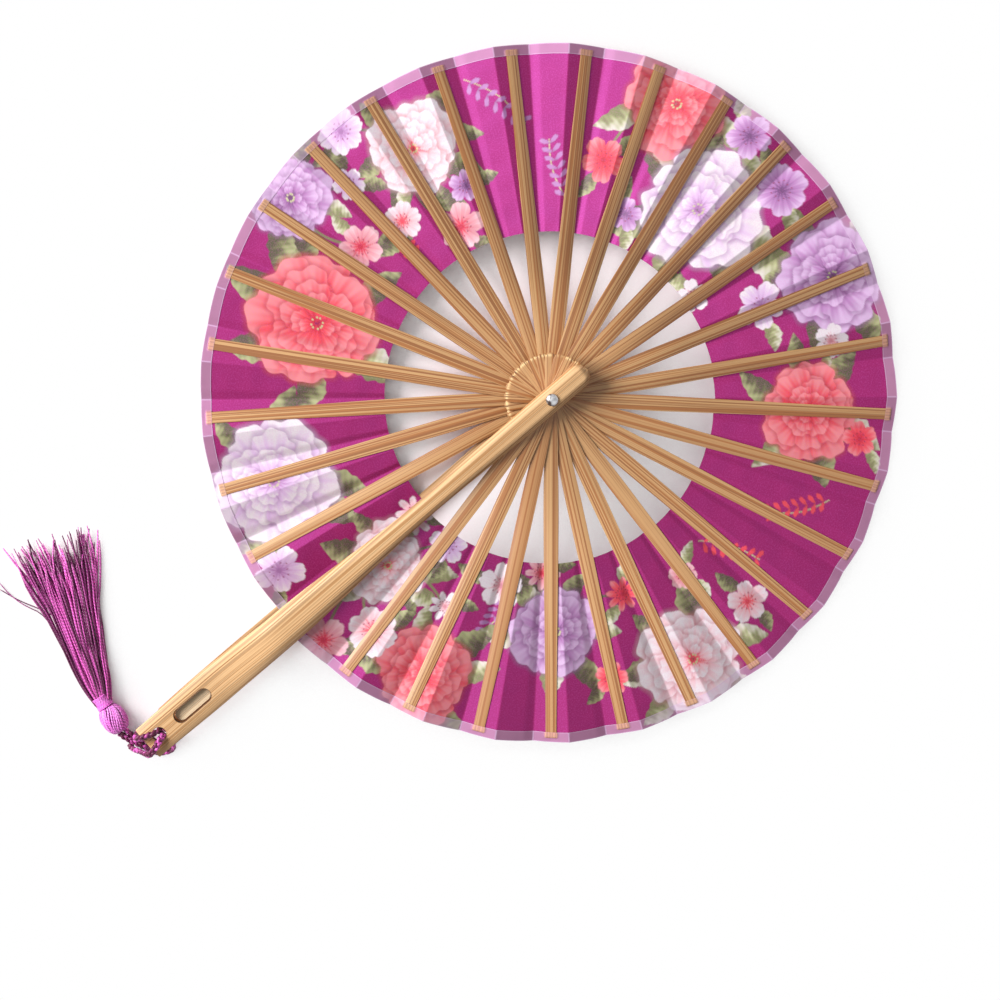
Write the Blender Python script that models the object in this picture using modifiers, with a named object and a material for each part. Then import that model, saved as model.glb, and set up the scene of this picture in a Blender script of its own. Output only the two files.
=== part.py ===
"""Round folding fan: 28 bamboo ribs and two guards on one rivet, a pleated cloth leaf, and a tassel.

Metres, +Z up. The fan lies open flat on its back guard, as a full wheel. The rivet's axis is Z, the
rivet's foot stands on Z = 0 at the origin, and the handle, made by the two guards, points along -Y.
Ribs are numbered clockwise from the handle, seen from above, and each lies one step above the last.
"""
import math

import bmesh
import bpy
from mathutils import Vector

COLLECTION = "round_folding_fan"
CUTTERS = "round_folding_fan_cutters"

# Ribs and how they lie: all distances from the rivet are measured along the rib
RIB_COUNT = 28
HANDLE_ANGLE = math.radians(-90)
TAIL_REACH = 0.0158
RIB_TAIL_WIDTH = 0.0043
RIB_BELLY_WIDTH = 0.0055
RIB_BELLY_AT = 0.038
RIB_TIP_WIDTH = 0.0041
RIB_HUB_THICKNESS = 0.00045
RIB_TIP_THICKNESS = 0.00022
RIB_SETBACK = 0.0012

# How the ribs pile up: the space left over each rib at the hub and at the wheel's rim
HUB_SPACE = 0.00015
RIM_SPACE = 0.00018
HUB_FLAT_REACH = 0.020
PLEAT_TILT = math.radians(18)
TWIST_START = 0.022
TWIST_END = 0.055

# Leaf: one pleated ring of cloth under the ribs, with a tape over its rim
LEAF_INNER = 0.057
LEAF_OUTER = 0.120
LEAF_THICKNESS = 0.0001
LEAF_GAP = 0.0001
FOLD_SHARE = 0.24
TAPE_WIDTH = 0.0032
TAPE_OVERHANG = 0.0003
TAPE_THICKNESS = 0.00008

# Guards: plano-convex slats whose flat sides face the ribs, and which bow together past the leaf
GUARD_HUB_THICKNESS = 0.0032
GUARD_HUB_WIDTH = 0.0082
GUARD_WAIST_WIDTH = 0.0064
GUARD_WAIST_AT = 0.058
GUARD_RIM_WIDTH = 0.0122
HANDLE_WIDTH = 0.0136
HANDLE_END_WIDTH = 0.0126
HANDLE_THICKNESS = 0.0020
GUARD_HUB_GAP = 0.00015
GUARD_LEAF_GAP = 0.00032
LEAN_START = 0.025
BOW_MARGIN = 0.0015
BOW_LENGTH = 0.0315
HANDLE_GAP = 0.0028
CREST_SHARE = 0.42
BLUNT_SHARE = 0.12

# Rivet
RIVET_SHAFT_RADIUS = 0.0012
RIVET_CLEARANCE = 0.0003
RIVET_HEAD_RADIUS = 0.00215
RIVET_HEAD_HEIGHT = 0.00125
RIVET_FOOT_RADIUS = 0.0023
RIVET_FOOT_HEIGHT = 0.0004
RIVET_SEAT_GAP = 0.0001
RIVET_SIDES = 24
RIVET_DOME_STEPS = 6

# Lock at the handle's end: a pill-shaped key on the back guard under a slot in the front guard
SLOT_MARGIN = 0.00255
SLOT_LENGTH = 0.0157
SLOT_WIDTH = 0.0052
KEY_CLEARANCE = 0.0003
KEY_POCKET_DEPTH = 0.0012
KEY_SEAT_GAP = 0.0002
KEY_END_WALL = 0.00305
PILL_STEPS = 8

# Cord hole past the slot, where only the front guard reaches
HOLE_MARGIN = 0.0050
CORD_HOLE_RADIUS = 0.00245
HANDLE_END_WALL = 0.00315

# Tassel on a doubled cord through that hole. The cord's points are chosen by hand: to the right,
# outwards from the hole along the handle, and up from the table
TABLE_GAP = 0.0001
CORD_RADIUS = 0.0009
CORD_POINTS = 78
CURVE_STEPS = 16
CORD_ROUTE = [
    (-0.0084, 0.0129, 0.0044),
    (-0.0058, 0.0125, 0.0038),
    (-0.0030, 0.0115, 0.0034),
    (-0.0002, 0.0107, 0.0026),
    (0.0028, 0.0099, 0.0012),
    (0.0062, 0.0079, 0.0011),
    (0.0080, 0.0047, 0.0018),
    (0.0074, 0.0019, 0.0048),
    (0.0048, 0.0005, 0.0082),
    (0.0022, 0.0001, 0.0112),
    (0.0012, 0.0000, 0.0136),
    (0.0012, 0.0002, 0.0158),
    (0.0018, 0.0016, 0.0171),
    (0.0027, 0.0041, 0.0174),
    (0.0031, 0.0065, 0.0168),
    (0.0030, 0.0081, 0.0148),
    (0.0022, 0.0093, 0.0122),
    (0.0006, 0.0108, 0.0094),
    (-0.0010, 0.0127, 0.0062),
    (-0.0022, 0.0135, 0.0030),
    (-0.0028, 0.0121, 0.0011),
    (-0.0034, 0.0095, 0.0010),
    (-0.0040, 0.0077, 0.0026),
    (-0.0043, 0.0071, 0.0062),
    (-0.0044, 0.0072, 0.0098),
    (-0.0042, 0.0073, 0.0134),
    (-0.0038, 0.0066, 0.0162),
    (-0.0031, 0.0047, 0.0174),
    (-0.0020, 0.0019, 0.0173),
    (-0.0012, 0.0001, 0.0153),
    (-0.0011, -0.0001, 0.0128),
    (-0.0004, -0.0007, 0.0101),
    (0.0014, -0.0015, 0.0074),
    (0.0038, -0.0011, 0.0044),
    (0.0052, 0.0013, 0.0020),
    (0.0050, 0.0043, 0.0011),
    (0.0030, 0.0067, 0.0012),
    (0.0002, 0.0083, 0.0022),
    (-0.0028, 0.0093, 0.0034),
    (-0.0058, 0.0102, 0.0042),
    (-0.0084, 0.0106, 0.0046),
]
# The tassel's head starts past the hole, and its yarn spreads back beside the handle
HEAD_START = (-0.0088, 0.0117)
HEAD_LENGTH = 0.0095
HEAD_RADIUS = 0.0047
HEAD_TURN = math.radians(170.5)
HEAD_PROFILE = [
    (1.00, 0.00),
    (1.00, 0.66),
    (0.86, 0.84),
    (0.70, 0.96),
    (0.52, 1.00),
    (0.34, 0.97),
    (0.18, 0.86),
    (0.06, 0.70),
    (0.00, 0.52),
    (0.00, 0.00),
]
HEAD_SIDES = 20
NECK_RADIUS = 0.0026
NECK_LENGTH = 0.0048
NECK_GAP = 0.0003
BINDING_TURNS = 4
BINDING_POINTS_PER_TURN = 24
BINDING_THREAD_RADIUS = 0.00030
SKIRT_BEND = 0.010
SKIRT_END = (-0.0752, -0.0147, 0.0016)
SKIRT_END_HALF_WIDTH = 0.0170
SKIRT_END_HALF_HEIGHT = 0.0015
SKIRT_FLUTES = 18
SKIRT_FLUTE_DEPTH = 0.05
SKIRT_STATIONS = 12
SKIRT_RAGGED = 0.0025
SKIRT_RAGGED_TURN = 2.7
SHARP_ANGLE = math.radians(35)


def smooth(low, high, x):
    """0 before low, 1 past high, and an even ease between them."""
    t = min(max((x - low) / (high - low), 0.0), 1.0)
    return t * t * (3 - 2 * t)


def eased(stations, x):
    """A width read from (distance, width) pairs, eased from one pair to the next."""
    for (a, low), (b, high) in zip(stations, stations[1:]):
        if x <= b:
            return low + (high - low) * smooth(a, b, x)
    return stations[-1][1]


# The handle takes the place of one rib, and each rib lies one step above the last
PITCH = 2 * math.pi / (RIB_COUNT + 1)
HUB_STEP = RIB_HUB_THICKNESS + HUB_SPACE
RIM_STEP = RIB_TIP_THICKNESS + RIM_SPACE
RIM_FOLD = FOLD_SHARE * PITCH * LEAF_OUTER * math.tan(PLEAT_TILT)

# The stack's levels, from the foot of the rivet up
OUTER_FACE = RIVET_FOOT_HEIGHT + RIVET_SEAT_GAP
STACK_HALF = HUB_STEP * (RIB_COUNT - 1) / 2 + RIB_HUB_THICKNESS / 2 + GUARD_HUB_GAP
RIM_HALF = RIM_STEP * (RIB_COUNT - 1) / 2 + RIM_FOLD + GUARD_LEAF_GAP
MIDDLE = OUTER_FACE + GUARD_HUB_THICKNESS + STACK_HALF
TOP_FACE = 2 * MIDDLE - OUTER_FACE

# Places along the handle, from the leaf's rim outwards
BOW_START = LEAF_OUTER + BOW_MARGIN
BOW_END = BOW_START + BOW_LENGTH
SLOT_AT = BOW_END + SLOT_MARGIN + SLOT_LENGTH / 2
BACK_GUARD_REACH = SLOT_AT + SLOT_LENGTH / 2 + KEY_END_WALL
CORD_HOLE_AT = SLOT_AT + SLOT_LENGTH / 2 + HOLE_MARGIN + CORD_HOLE_RADIUS
HANDLE_REACH = CORD_HOLE_AT + CORD_HOLE_RADIUS + HANDLE_END_WALL
KEY_LENGTH = SLOT_LENGTH - 2 * KEY_CLEARANCE
KEY_WIDTH = SLOT_WIDTH - 2 * KEY_CLEARANCE


def rib_angle(place):
    """Direction of the rib, or part of a rib's pitch, numbered place; it grows clockwise."""
    return HANDLE_ANGLE - PITCH * place


def step_at(r):
    """Rise from one rib to the next at distance r from the rivet."""
    share = max((r - HUB_FLAT_REACH) / (LEAF_OUTER - HUB_FLAT_REACH), 0.0)
    return HUB_STEP + (RIM_STEP - HUB_STEP) * share


def level(place, r):
    """Height of the middle of the rib numbered place, at distance r."""
    return MIDDLE + (place - (RIB_COUNT + 1) / 2) * step_at(r)


def tilt_at(r):
    """How far a rib is twisted at distance r, so that it lies flat on its pleat of the leaf."""
    return PLEAT_TILT * smooth(TWIST_START, TWIST_END, r)


def rib_thickness(r):
    share = max((r - HUB_FLAT_REACH) / (LEAF_OUTER - HUB_FLAT_REACH), 0.0)
    return RIB_HUB_THICKNESS + (RIB_TIP_THICKNESS - RIB_HUB_THICKNESS) * min(share, 1.0)


def rounded_end(half_width, end, r):
    """Half width near a half-round end that is reached at distance end, on the rivet's other side."""
    centre = end + half_width
    if r >= centre:
        return half_width
    return math.sqrt(max(half_width**2 - (centre - r) ** 2, (BLUNT_SHARE * half_width) ** 2))


def rib_half_width(r):
    widths = [
        (0.0, RIB_TAIL_WIDTH / 2),
        (RIB_BELLY_AT, RIB_BELLY_WIDTH / 2),
        (LEAF_OUTER, RIB_TIP_WIDTH / 2),
    ]
    return rounded_end(RIB_TAIL_WIDTH / 2, -TAIL_REACH, r) if r < 0 else eased(widths, r)


def guard_half_width(r):
    widths = [
        (0.0, GUARD_HUB_WIDTH / 2),
        (GUARD_WAIST_AT, GUARD_WAIST_WIDTH / 2),
        (LEAF_OUTER, GUARD_RIM_WIDTH / 2),
        (BOW_END, HANDLE_WIDTH / 2),
        (HANDLE_REACH, HANDLE_END_WIDTH / 2),
    ]
    return rounded_end(GUARD_HUB_WIDTH / 2, -TAIL_REACH, r) if r < 0 else eased(widths, r)


def guard_lean(r):
    """How much nearer the middle a guard's flat side lies at distance r than at the hub."""
    share = (r - LEAN_START) / (LEAF_OUTER - LEAN_START)
    return (STACK_HALF - RIM_HALF) * min(max(share, 0.0), 1.0)


def guard_inner(r):
    """Distance of a guard's flat side from the middle of the stack; past the leaf it bows inwards."""
    parallel = STACK_HALF - guard_lean(r)
    return parallel + (HANDLE_GAP / 2 - parallel) * smooth(BOW_START, BOW_END, r)


def guard_thickness(r):
    """The outer side is level as far as the leaf's rim, where the fan rests; the handle is thinner."""
    level_side = GUARD_HUB_THICKNESS + guard_lean(r)
    return level_side + (HANDLE_THICKNESS - level_side) * smooth(BOW_START, BOW_END, r)


def collection(name):
    found = bpy.data.collections.new(name)
    bpy.context.scene.collection.children.link(found)
    return found


def material(name, colour, roughness, metallic=0.0):
    made = bpy.data.materials.new(name)
    made.use_nodes = True
    shader = made.node_tree.nodes["Principled BSDF"]
    shader.inputs["Base Color"].default_value = (*colour, 1)
    shader.inputs["Roughness"].default_value = roughness
    shader.inputs["Metallic"].default_value = metallic
    made.diffuse_color = (*colour, 1)
    return made


def new_object(name, mesh, look, home):
    obj = bpy.data.objects.new(name, mesh)
    mesh.materials.append(look)
    home.objects.link(obj)
    return obj


def loft(name, rings):
    """A closed mesh through rings of points, each ring with as many points as the next."""
    bm = bmesh.new()
    made = [[bm.verts.new(p) for p in ring] for ring in rings]
    for a, b in zip(made, made[1:]):
        for i in range(len(a)):
            j = (i + 1) % len(a)
            bm.faces.new((a[i], a[j], b[j], b[i]))
    bm.faces.new(made[0])
    bm.faces.new(made[-1])
    bmesh.ops.recalc_face_normals(bm, faces=bm.faces)
    mesh = bpy.data.meshes.new(name)
    bm.to_mesh(mesh)
    bm.free()
    return mesh


def cutter(name, mesh, home):
    """A hidden object that only cuts others."""
    obj = bpy.data.objects.new(name, mesh)
    home.objects.link(obj)
    obj.hide_render = True
    obj.display_type = "WIRE"
    return obj


def round_prism(name, radius, low, high, y, sides):
    """A cylinder about a vertical line through (0, y)."""
    rings = []
    for z in (low, high):
        turns = [2 * math.pi * (i + 0.5) / sides for i in range(sides)]
        rings.append([(radius * math.cos(a), y + radius * math.sin(a), z) for a in turns])
    return loft(name, rings)


def pill_outline(length, width):
    """Points round a pill shape about the origin, long along Y, anticlockwise."""
    run = (length - width) / 2
    outline = []
    for centre, start in ((run, 0.0), (-run, math.pi)):
        for i in range(PILL_STEPS + 1):
            a = start + math.pi * i / PILL_STEPS
            outline.append((width / 2 * math.cos(a), centre + width / 2 * math.sin(a)))
    return outline


def pill_prism(name, length, width, low, high, y):
    rings = [[(px, y + py, z) for px, py in pill_outline(length, width)] for z in (low, high)]
    return loft(name, rings)


def cut(obj, tool):
    made = obj.modifiers.new("cut_" + tool.name, "BOOLEAN")
    made.operation = "DIFFERENCE"
    made.object = tool


def tail_stations(half_width, count):
    """Distances from the rivet through a half-round tail, close together where it curves most."""
    centre = -TAIL_REACH + half_width
    return [centre - half_width * math.cos(math.pi / 2 * i / count) for i in range(count + 1)]


def spaced(low, high, count):
    """Distances from low to high in count even steps."""
    return [low + (high - low) * i / count for i in range(count + 1)]


def rib_mesh(name, place):
    """A thin strip from its round tail to its tip, flat at the hub and twisted onto its pleat.

    Its faces above and below are split along the same diagonals, so folded ribs lie parallel.
    """
    beyond = [0.0] + spaced(HUB_FLAT_REACH, TWIST_END, 8)
    beyond += spaced(TWIST_END, LEAF_OUTER - RIB_SETBACK, 3)[1:]
    angle = rib_angle(place)
    radial = Vector((math.cos(angle), math.sin(angle), 0))
    clockwise = Vector((math.sin(angle), -math.cos(angle), 0))
    bm = bmesh.new()
    rings = []
    for r in tail_stations(RIB_TAIL_WIDTH / 2, 4) + beyond:
        half, thick, tilt = rib_half_width(r), rib_thickness(r) / 2, tilt_at(r)
        ring = []
        for across, up in ((-half, -thick), (half, -thick), (half, thick), (-half, thick)):
            side = across * math.cos(tilt) + up * math.sin(tilt)
            rise = up * math.cos(tilt) - across * math.sin(tilt)
            place_at = radial * r + clockwise * side + Vector((0, 0, level(place, r) + rise))
            ring.append(bm.verts.new(place_at))
        rings.append(ring)
    for a, b in zip(rings, rings[1:]):
        for i, j in ((0, 1), (3, 2)):
            bm.faces.new((a[i], a[j], b[j]))
            bm.faces.new((a[i], b[j], b[i]))
        for i, j in ((1, 2), (3, 0)):
            bm.faces.new((a[i], a[j], b[j], b[i]))
    bm.faces.new(rings[0])
    bm.faces.new(rings[-1])
    bmesh.ops.recalc_face_normals(bm, faces=bm.faces)
    mesh = bpy.data.meshes.new(name)
    bm.to_mesh(mesh)
    bm.free()
    return mesh


# Across a guard's section: share of its half width, and share of its thickness outwards
GUARD_SECTION = [
    (-1.00, 0.00),
    (1.00, 0.00),
    (1.00, 0.34),
    (0.88, 0.64),
    (0.68, 0.88),
    (CREST_SHARE, 1.00),
    (-CREST_SHARE, 1.00),
    (-0.68, 0.88),
    (-0.88, 0.64),
    (-1.00, 0.34),
]


def guard_mesh(name, reach, side):
    """A guard along -Y; side is 1 for the front guard above the ribs and -1 for the back one."""
    body = [0.0] + spaced(LEAN_START, GUARD_WAIST_AT, 2) + spaced(GUARD_WAIST_AT, LEAF_OUTER, 4)[1:]
    rings = []
    for r in tail_stations(GUARD_HUB_WIDTH / 2, 6) + body + spaced(BOW_START, BOW_END, 8) + [reach]:
        half, inner, thick = guard_half_width(r), guard_inner(r), guard_thickness(r)
        rings.append(
            [(half * a, -r, MIDDLE + side * (inner + thick * b)) for a, b in GUARD_SECTION]
        )
    return loft(name, rings)


def under_rib(r):
    """How far the leaf's middle lies under the middle of the rib that is glued to it."""
    return rib_thickness(r) / 2 + LEAF_GAP + LEAF_THICKNESS / 2


def tape_lift(r):
    """How far the tape, which passes over the ribs' tips, lies over the leaf's middle."""
    return under_rib(r) + rib_thickness(r) / 2 + LEAF_GAP + TAPE_THICKNESS / 2


def leaf_heights(r):
    """(place, height) of each fold of the leaf at distance r, from the back guard to the front one."""
    fold = FOLD_SHARE * PITCH * r * math.tan(PLEAT_TILT)
    on_back = MIDDLE - guard_inner(r) + GUARD_HUB_GAP + LEAF_THICKNESS / 2
    on_front = MIDDLE + guard_inner(r) - GUARD_HUB_GAP - tape_lift(r) - TAPE_THICKNESS / 2
    last = RIB_COUNT + 1
    found = [(0, on_back), (FOLD_SHARE, on_back)]
    for place in range(1, last):
        middle = level(place, r) - under_rib(r)
        found += [(place - FOLD_SHARE, middle + fold), (place + FOLD_SHARE, middle - fold)]
    return found + [(last - FOLD_SHARE, on_front), (last, on_front)]


def pleated_ring(name, inner, outer, lift, thickness, look, home):
    """An open pleated strip round the wheel, made a thin sheet; lift sets it over the leaf's middle.

    Each panel is slightly warped, so it is split along one diagonal, the same on both its faces.
    """
    bm = bmesh.new()
    rows = []
    for r in (inner, outer):
        row = []
        for place, height in leaf_heights(r):
            a = rib_angle(place)
            row.append(bm.verts.new((r * math.cos(a), r * math.sin(a), height + lift(r))))
        rows.append(row)
    within, beyond = rows
    for k in range(len(within) - 1):
        bm.faces.new((within[k + 1], beyond[k + 1], beyond[k], within[k]))
    bmesh.ops.triangulate(bm, faces=bm.faces, quad_method="FIXED")
    mesh = bpy.data.meshes.new(name)
    bm.to_mesh(mesh)
    bm.free()
    obj = new_object(name, mesh, look, home)
    sheet = obj.modifiers.new("thickness", "SOLIDIFY")
    sheet.thickness = thickness
    sheet.offset = 0


def smooth_route(points, count):
    """count points, evenly spaced, on a smooth curve through the given ones."""
    fine = []
    padded = [points[0] * 2 - points[1]] + points + [points[-1] * 2 - points[-2]]
    for p0, p1, p2, p3 in zip(padded, padded[1:], padded[2:], padded[3:]):
        for i in range(CURVE_STEPS):
            t = i / CURVE_STEPS
            linear = 2 * p1 + (p2 - p0) * t
            square = (2 * p0 - 5 * p1 + 4 * p2 - p3) * t * t
            cube = (3 * p1 - p0 - 3 * p2 + p3) * t**3
            fine.append((linear + square + cube) / 2)
    fine.append(points[-1])
    travelled = [0.0]
    for a, b in zip(fine, fine[1:]):
        travelled.append(travelled[-1] + (b - a).length)
    made, at = [], 0
    for i in range(count):
        want = travelled[-1] * i / (count - 1)
        while at < len(fine) - 2 and travelled[at + 1] < want:
            at += 1
        share = (want - travelled[at]) / max(travelled[at + 1] - travelled[at], 1e-12)
        made.append(fine[at].lerp(fine[at + 1], min(share, 1.0)))
    return made


def least_gap(points, radius, apart):
    """The least space between parts of a tube that lie more than apart from each other along it."""
    travelled = [0.0]
    for a, b in zip(points, points[1:]):
        travelled.append(travelled[-1] + (b - a).length)
    return min(
        (points[i] - points[j]).length - 2 * radius
        for i in range(len(points))
        for j in range(i)
        if travelled[i] - travelled[j] > apart
    )


def tube(name, points, radius, resolution, look, home):
    """A tube with closed ends along points."""
    curve = bpy.data.curves.new(name, "CURVE")
    curve.dimensions = "3D"
    curve.bevel_depth = radius
    curve.bevel_resolution = resolution
    curve.use_fill_caps = True
    spline = curve.splines.new("POLY")
    spline.points.add(len(points) - 1)
    for point, place in zip(spline.points, points):
        point.co = (*place, 1)
    curve.materials.append(look)
    obj = bpy.data.objects.new(name, curve)
    home.objects.link(obj)
    return obj


def turned(name, profile, steps, look, home):
    """A solid turned about Z from (radius, height) pairs that run from its top to its bottom."""
    bm = bmesh.new()
    verts = [bm.verts.new((r, 0, z)) for r, z in profile]
    for a, b in zip(verts, verts[1:]):
        bm.edges.new((a, b))
    mesh = bpy.data.meshes.new(name)
    bm.to_mesh(mesh)
    bm.free()
    obj = new_object(name, mesh, look, home)
    screw = obj.modifiers.new("turn", "SCREW")
    screw.steps = steps
    screw.render_steps = steps
    screw.use_merge_vertices = True
    screw.merge_threshold = 0.00001
    screw.use_smooth_shade = True
    return obj


def add_ribs(look, home, cutters):
    clear = RIVET_SHAFT_RADIUS + RIVET_CLEARANCE
    prism = round_prism("rib_hole", clear, 0, 2 * MIDDLE, 0, RIVET_SIDES // 2)
    hole = cutter("rib_hole", prism, cutters)
    for place in range(1, RIB_COUNT + 1):
        name = f"rib_{place:02d}"
        rib = new_object(name, rib_mesh(name, place), look, home)
        cut(rib, hole)


def add_guards(look, home, cutters):
    """Both guards turn on the rivet; the slot and the cord hole go through the front one only."""
    clear = RIVET_SHAFT_RADIUS + RIVET_CLEARANCE
    rivet_hole = round_prism("rivet_hole", clear, -MIDDLE, 3 * MIDDLE, 0, RIVET_SIDES)
    slot = pill_prism("slot", SLOT_LENGTH, SLOT_WIDTH, MIDDLE, TOP_FACE, -SLOT_AT)
    cord_hole = round_prism(
        "cord_hole", CORD_HOLE_RADIUS, MIDDLE, TOP_FACE, -CORD_HOLE_AT, RIVET_SIDES
    )
    floor = MIDDLE - HANDLE_GAP / 2 - KEY_POCKET_DEPTH
    length, width = KEY_LENGTH + 2 * KEY_SEAT_GAP, KEY_WIDTH + 2 * KEY_SEAT_GAP
    pocket = pill_prism("key_pocket", length, width, floor, MIDDLE, -SLOT_AT)
    shared = cutter("rivet_hole", rivet_hole, cutters)
    front = new_object("front_guard", guard_mesh("front_guard", HANDLE_REACH, 1), look, home)
    cut(front, shared)
    cut(front, cutter("slot", slot, cutters))
    cut(front, cutter("cord_hole", cord_hole, cutters))
    back = new_object("back_guard", guard_mesh("back_guard", BACK_GUARD_REACH, -1), look, home)
    cut(back, shared)
    cut(back, cutter("key_pocket", pocket, cutters))


def add_lock_key(look, home):
    """The key stands in the back guard's pocket, and ends just under the front guard's slot."""
    low = MIDDLE - HANDLE_GAP / 2 - KEY_POCKET_DEPTH + KEY_SEAT_GAP
    high = MIDDLE + HANDLE_GAP / 2 - KEY_CLEARANCE
    mesh = pill_prism("lock_key", KEY_LENGTH, KEY_WIDTH, low, high, -SLOT_AT)
    new_object("lock_key", mesh, look, home)


def add_rivet(look, home):
    """Foot, shaft and domed head in one."""
    seat = TOP_FACE + RIVET_SEAT_GAP
    dome = []
    for i in range(RIVET_DOME_STEPS + 1):
        a = math.pi / 2 * i / RIVET_DOME_STEPS
        dome.append((RIVET_HEAD_RADIUS * math.sin(a), seat + RIVET_HEAD_HEIGHT * math.cos(a)))
    profile = dome + [
        (RIVET_SHAFT_RADIUS, seat),
        (RIVET_SHAFT_RADIUS, RIVET_FOOT_HEIGHT),
        (RIVET_FOOT_RADIUS, RIVET_FOOT_HEIGHT),
        (RIVET_FOOT_RADIUS, 0),
        (0, 0),
    ]
    turned("rivet", profile, RIVET_SIDES, look, home)


def add_leaf(cloth, tape, home):
    pleated_ring("leaf", LEAF_INNER, LEAF_OUTER, lambda r: 0.0, LEAF_THICKNESS, cloth, home)
    low, high = LEAF_OUTER - TAPE_WIDTH, LEAF_OUTER + TAPE_OVERHANG
    pleated_ring("edge_tape", low, high, tape_lift, TAPE_THICKNESS, tape, home)


def past_hole(across, outwards, up):
    """A place on the table's side of the handle's end, measured from the cord hole."""
    return Vector((across, -(CORD_HOLE_AT + outwards), up))


def length_of(points):
    return sum((b - a).length for a, b in zip(points, points[1:]))


def add_cord(look, home):
    """One loop of cord: out of the head, under the handle's end, up through the hole and back."""
    route = smooth_route([past_hole(*p) for p in CORD_ROUTE], CORD_POINTS)
    tube("tassel_cord", route, CORD_RADIUS, 2, look, home)
    gap = least_gap(route, CORD_RADIUS, 6 * CORD_RADIUS)
    print(f"tassel_cord length {length_of(route) * 1000:.1f} mm, least gap {gap * 1000:.2f} mm")


def add_tassel_head(axis, look, home):
    """A barrel of folded yarn, turned and then laid along the tassel's axis."""
    profile = [(HEAD_RADIUS * width, HEAD_LENGTH * along) for along, width in HEAD_PROFILE]
    head = turned("tassel_head", profile, HEAD_SIDES, look, home)
    head.rotation_mode = "QUATERNION"
    head.rotation_quaternion = Vector((0, 0, 1)).rotation_difference(axis)
    head.location = past_hole(*HEAD_START, HEAD_RADIUS + TABLE_GAP)


def add_binding(neck, axis, look, home):
    """One thread wound round the neck, which the skirt's core fills."""
    across = Vector((0, 0, 1)).cross(axis)
    radius = NECK_RADIUS + NECK_GAP + BINDING_THREAD_RADIUS
    run = NECK_LENGTH - 2 * BINDING_THREAD_RADIUS
    count = BINDING_TURNS * BINDING_POINTS_PER_TURN
    thread = []
    for i in range(count + 1):
        a = 2 * math.pi * i / BINDING_POINTS_PER_TURN
        out = across * math.cos(a) + Vector((0, 0, math.sin(a)))
        thread.append(neck + axis * (BINDING_THREAD_RADIUS + run * i / count) + out * radius)
    tube("tassel_binding", thread, BINDING_THREAD_RADIUS, 1, look, home)
    gap = least_gap(thread, BINDING_THREAD_RADIUS, math.pi * radius)
    print(f"tassel_binding least gap to itself {gap * 1000:.2f} mm")


def add_skirt(neck, axis, look, home):
    """Yarn that leaves the neck round and spreads into a flat brush on the table."""
    bend = neck + axis * (NECK_LENGTH + SKIRT_BEND)
    end = past_hole(*SKIRT_END)
    rings = []
    for i in range(SKIRT_STATIONS + 1):
        t = i / SKIRT_STATIONS
        place = neck * (1 - t) ** 2 + bend * 2 * t * (1 - t) + end * t * t
        ahead = ((bend - neck) * (1 - t) + (end - bend) * t).normalized()
        side = Vector((0, 0, 1)).cross(ahead).normalized()
        travelled = (place - neck).length
        spread = smooth(NECK_LENGTH, (end - neck).length, travelled)
        half = NECK_RADIUS + (SKIRT_END_HALF_WIDTH - NECK_RADIUS) * spread
        high = NECK_RADIUS + (SKIRT_END_HALF_HEIGHT - NECK_RADIUS) * spread
        depth = SKIRT_FLUTE_DEPTH * min(max(travelled / NECK_LENGTH - 1, 0), 1)
        ring = []
        for j in range(2 * SKIRT_FLUTES):
            a = math.pi * j / SKIRT_FLUTES
            flute = 1 - depth * (j % 2)
            ragged = SKIRT_RAGGED * math.sin(SKIRT_RAGGED_TURN * j) if t == 1 else 0.0
            point = place + side * half * flute * math.cos(a)
            point += Vector((ahead.x, ahead.y, 0)) * ragged
            point.z = max(place.z + high * flute * math.sin(a), TABLE_GAP)
            ring.append(point)
        rings.append(ring)
    skirt = new_object("tassel_skirt", loft("tassel_skirt", rings), look, home)
    skirt.data.shade_smooth()
    skirt.data.set_sharp_from_angle(angle=SHARP_ANGLE)


def add_tassel(look, home):
    axis = Vector((math.cos(HEAD_TURN), math.sin(HEAD_TURN), 0))
    add_cord(look, home)
    add_tassel_head(axis, look, home)
    neck = past_hole(*HEAD_START, HEAD_RADIUS + TABLE_GAP) + axis * (HEAD_LENGTH + NECK_GAP)
    add_binding(neck, axis, look, home)
    add_skirt(neck, axis, look, home)


def main():
    for obj in list(bpy.data.objects):
        bpy.data.objects.remove(obj, do_unlink=True)
    home, cutters = collection(COLLECTION), collection(CUTTERS)
    bamboo = material("bamboo", (0.62, 0.40, 0.19), 0.45)
    skin = material("bamboo_skin", (0.68, 0.44, 0.20), 0.35)
    pale = material("pale_bamboo", (0.60, 0.46, 0.28), 0.6)
    steel = material("bright_steel", (0.75, 0.75, 0.77), 0.2, 1.0)
    cloth = material("magenta_cloth", (0.30, 0.02, 0.22), 0.5)
    tape = material("sheer_tape", (0.75, 0.62, 0.74), 0.6)
    yarn = material("plum_yarn", (0.32, 0.02, 0.20), 0.5)
    add_ribs(bamboo, home, cutters)
    add_guards(skin, home, cutters)
    add_lock_key(pale, home)
    add_rivet(steel, home)
    add_leaf(cloth, tape, home)
    add_tassel(yarn, home)


main()
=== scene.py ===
"""Round folding fan: bamboo ribs and guards on one rivet, a pleated printed cloth, and a yarn tassel.

Metres, +Z up. The rivet stands at the origin and the handle points along -Y. Ribs are numbered
clockwise from the handle, seen from above.
"""
import math
import random

import bmesh
import bpy
import numpy as np
from mathutils import Matrix, Vector


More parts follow.
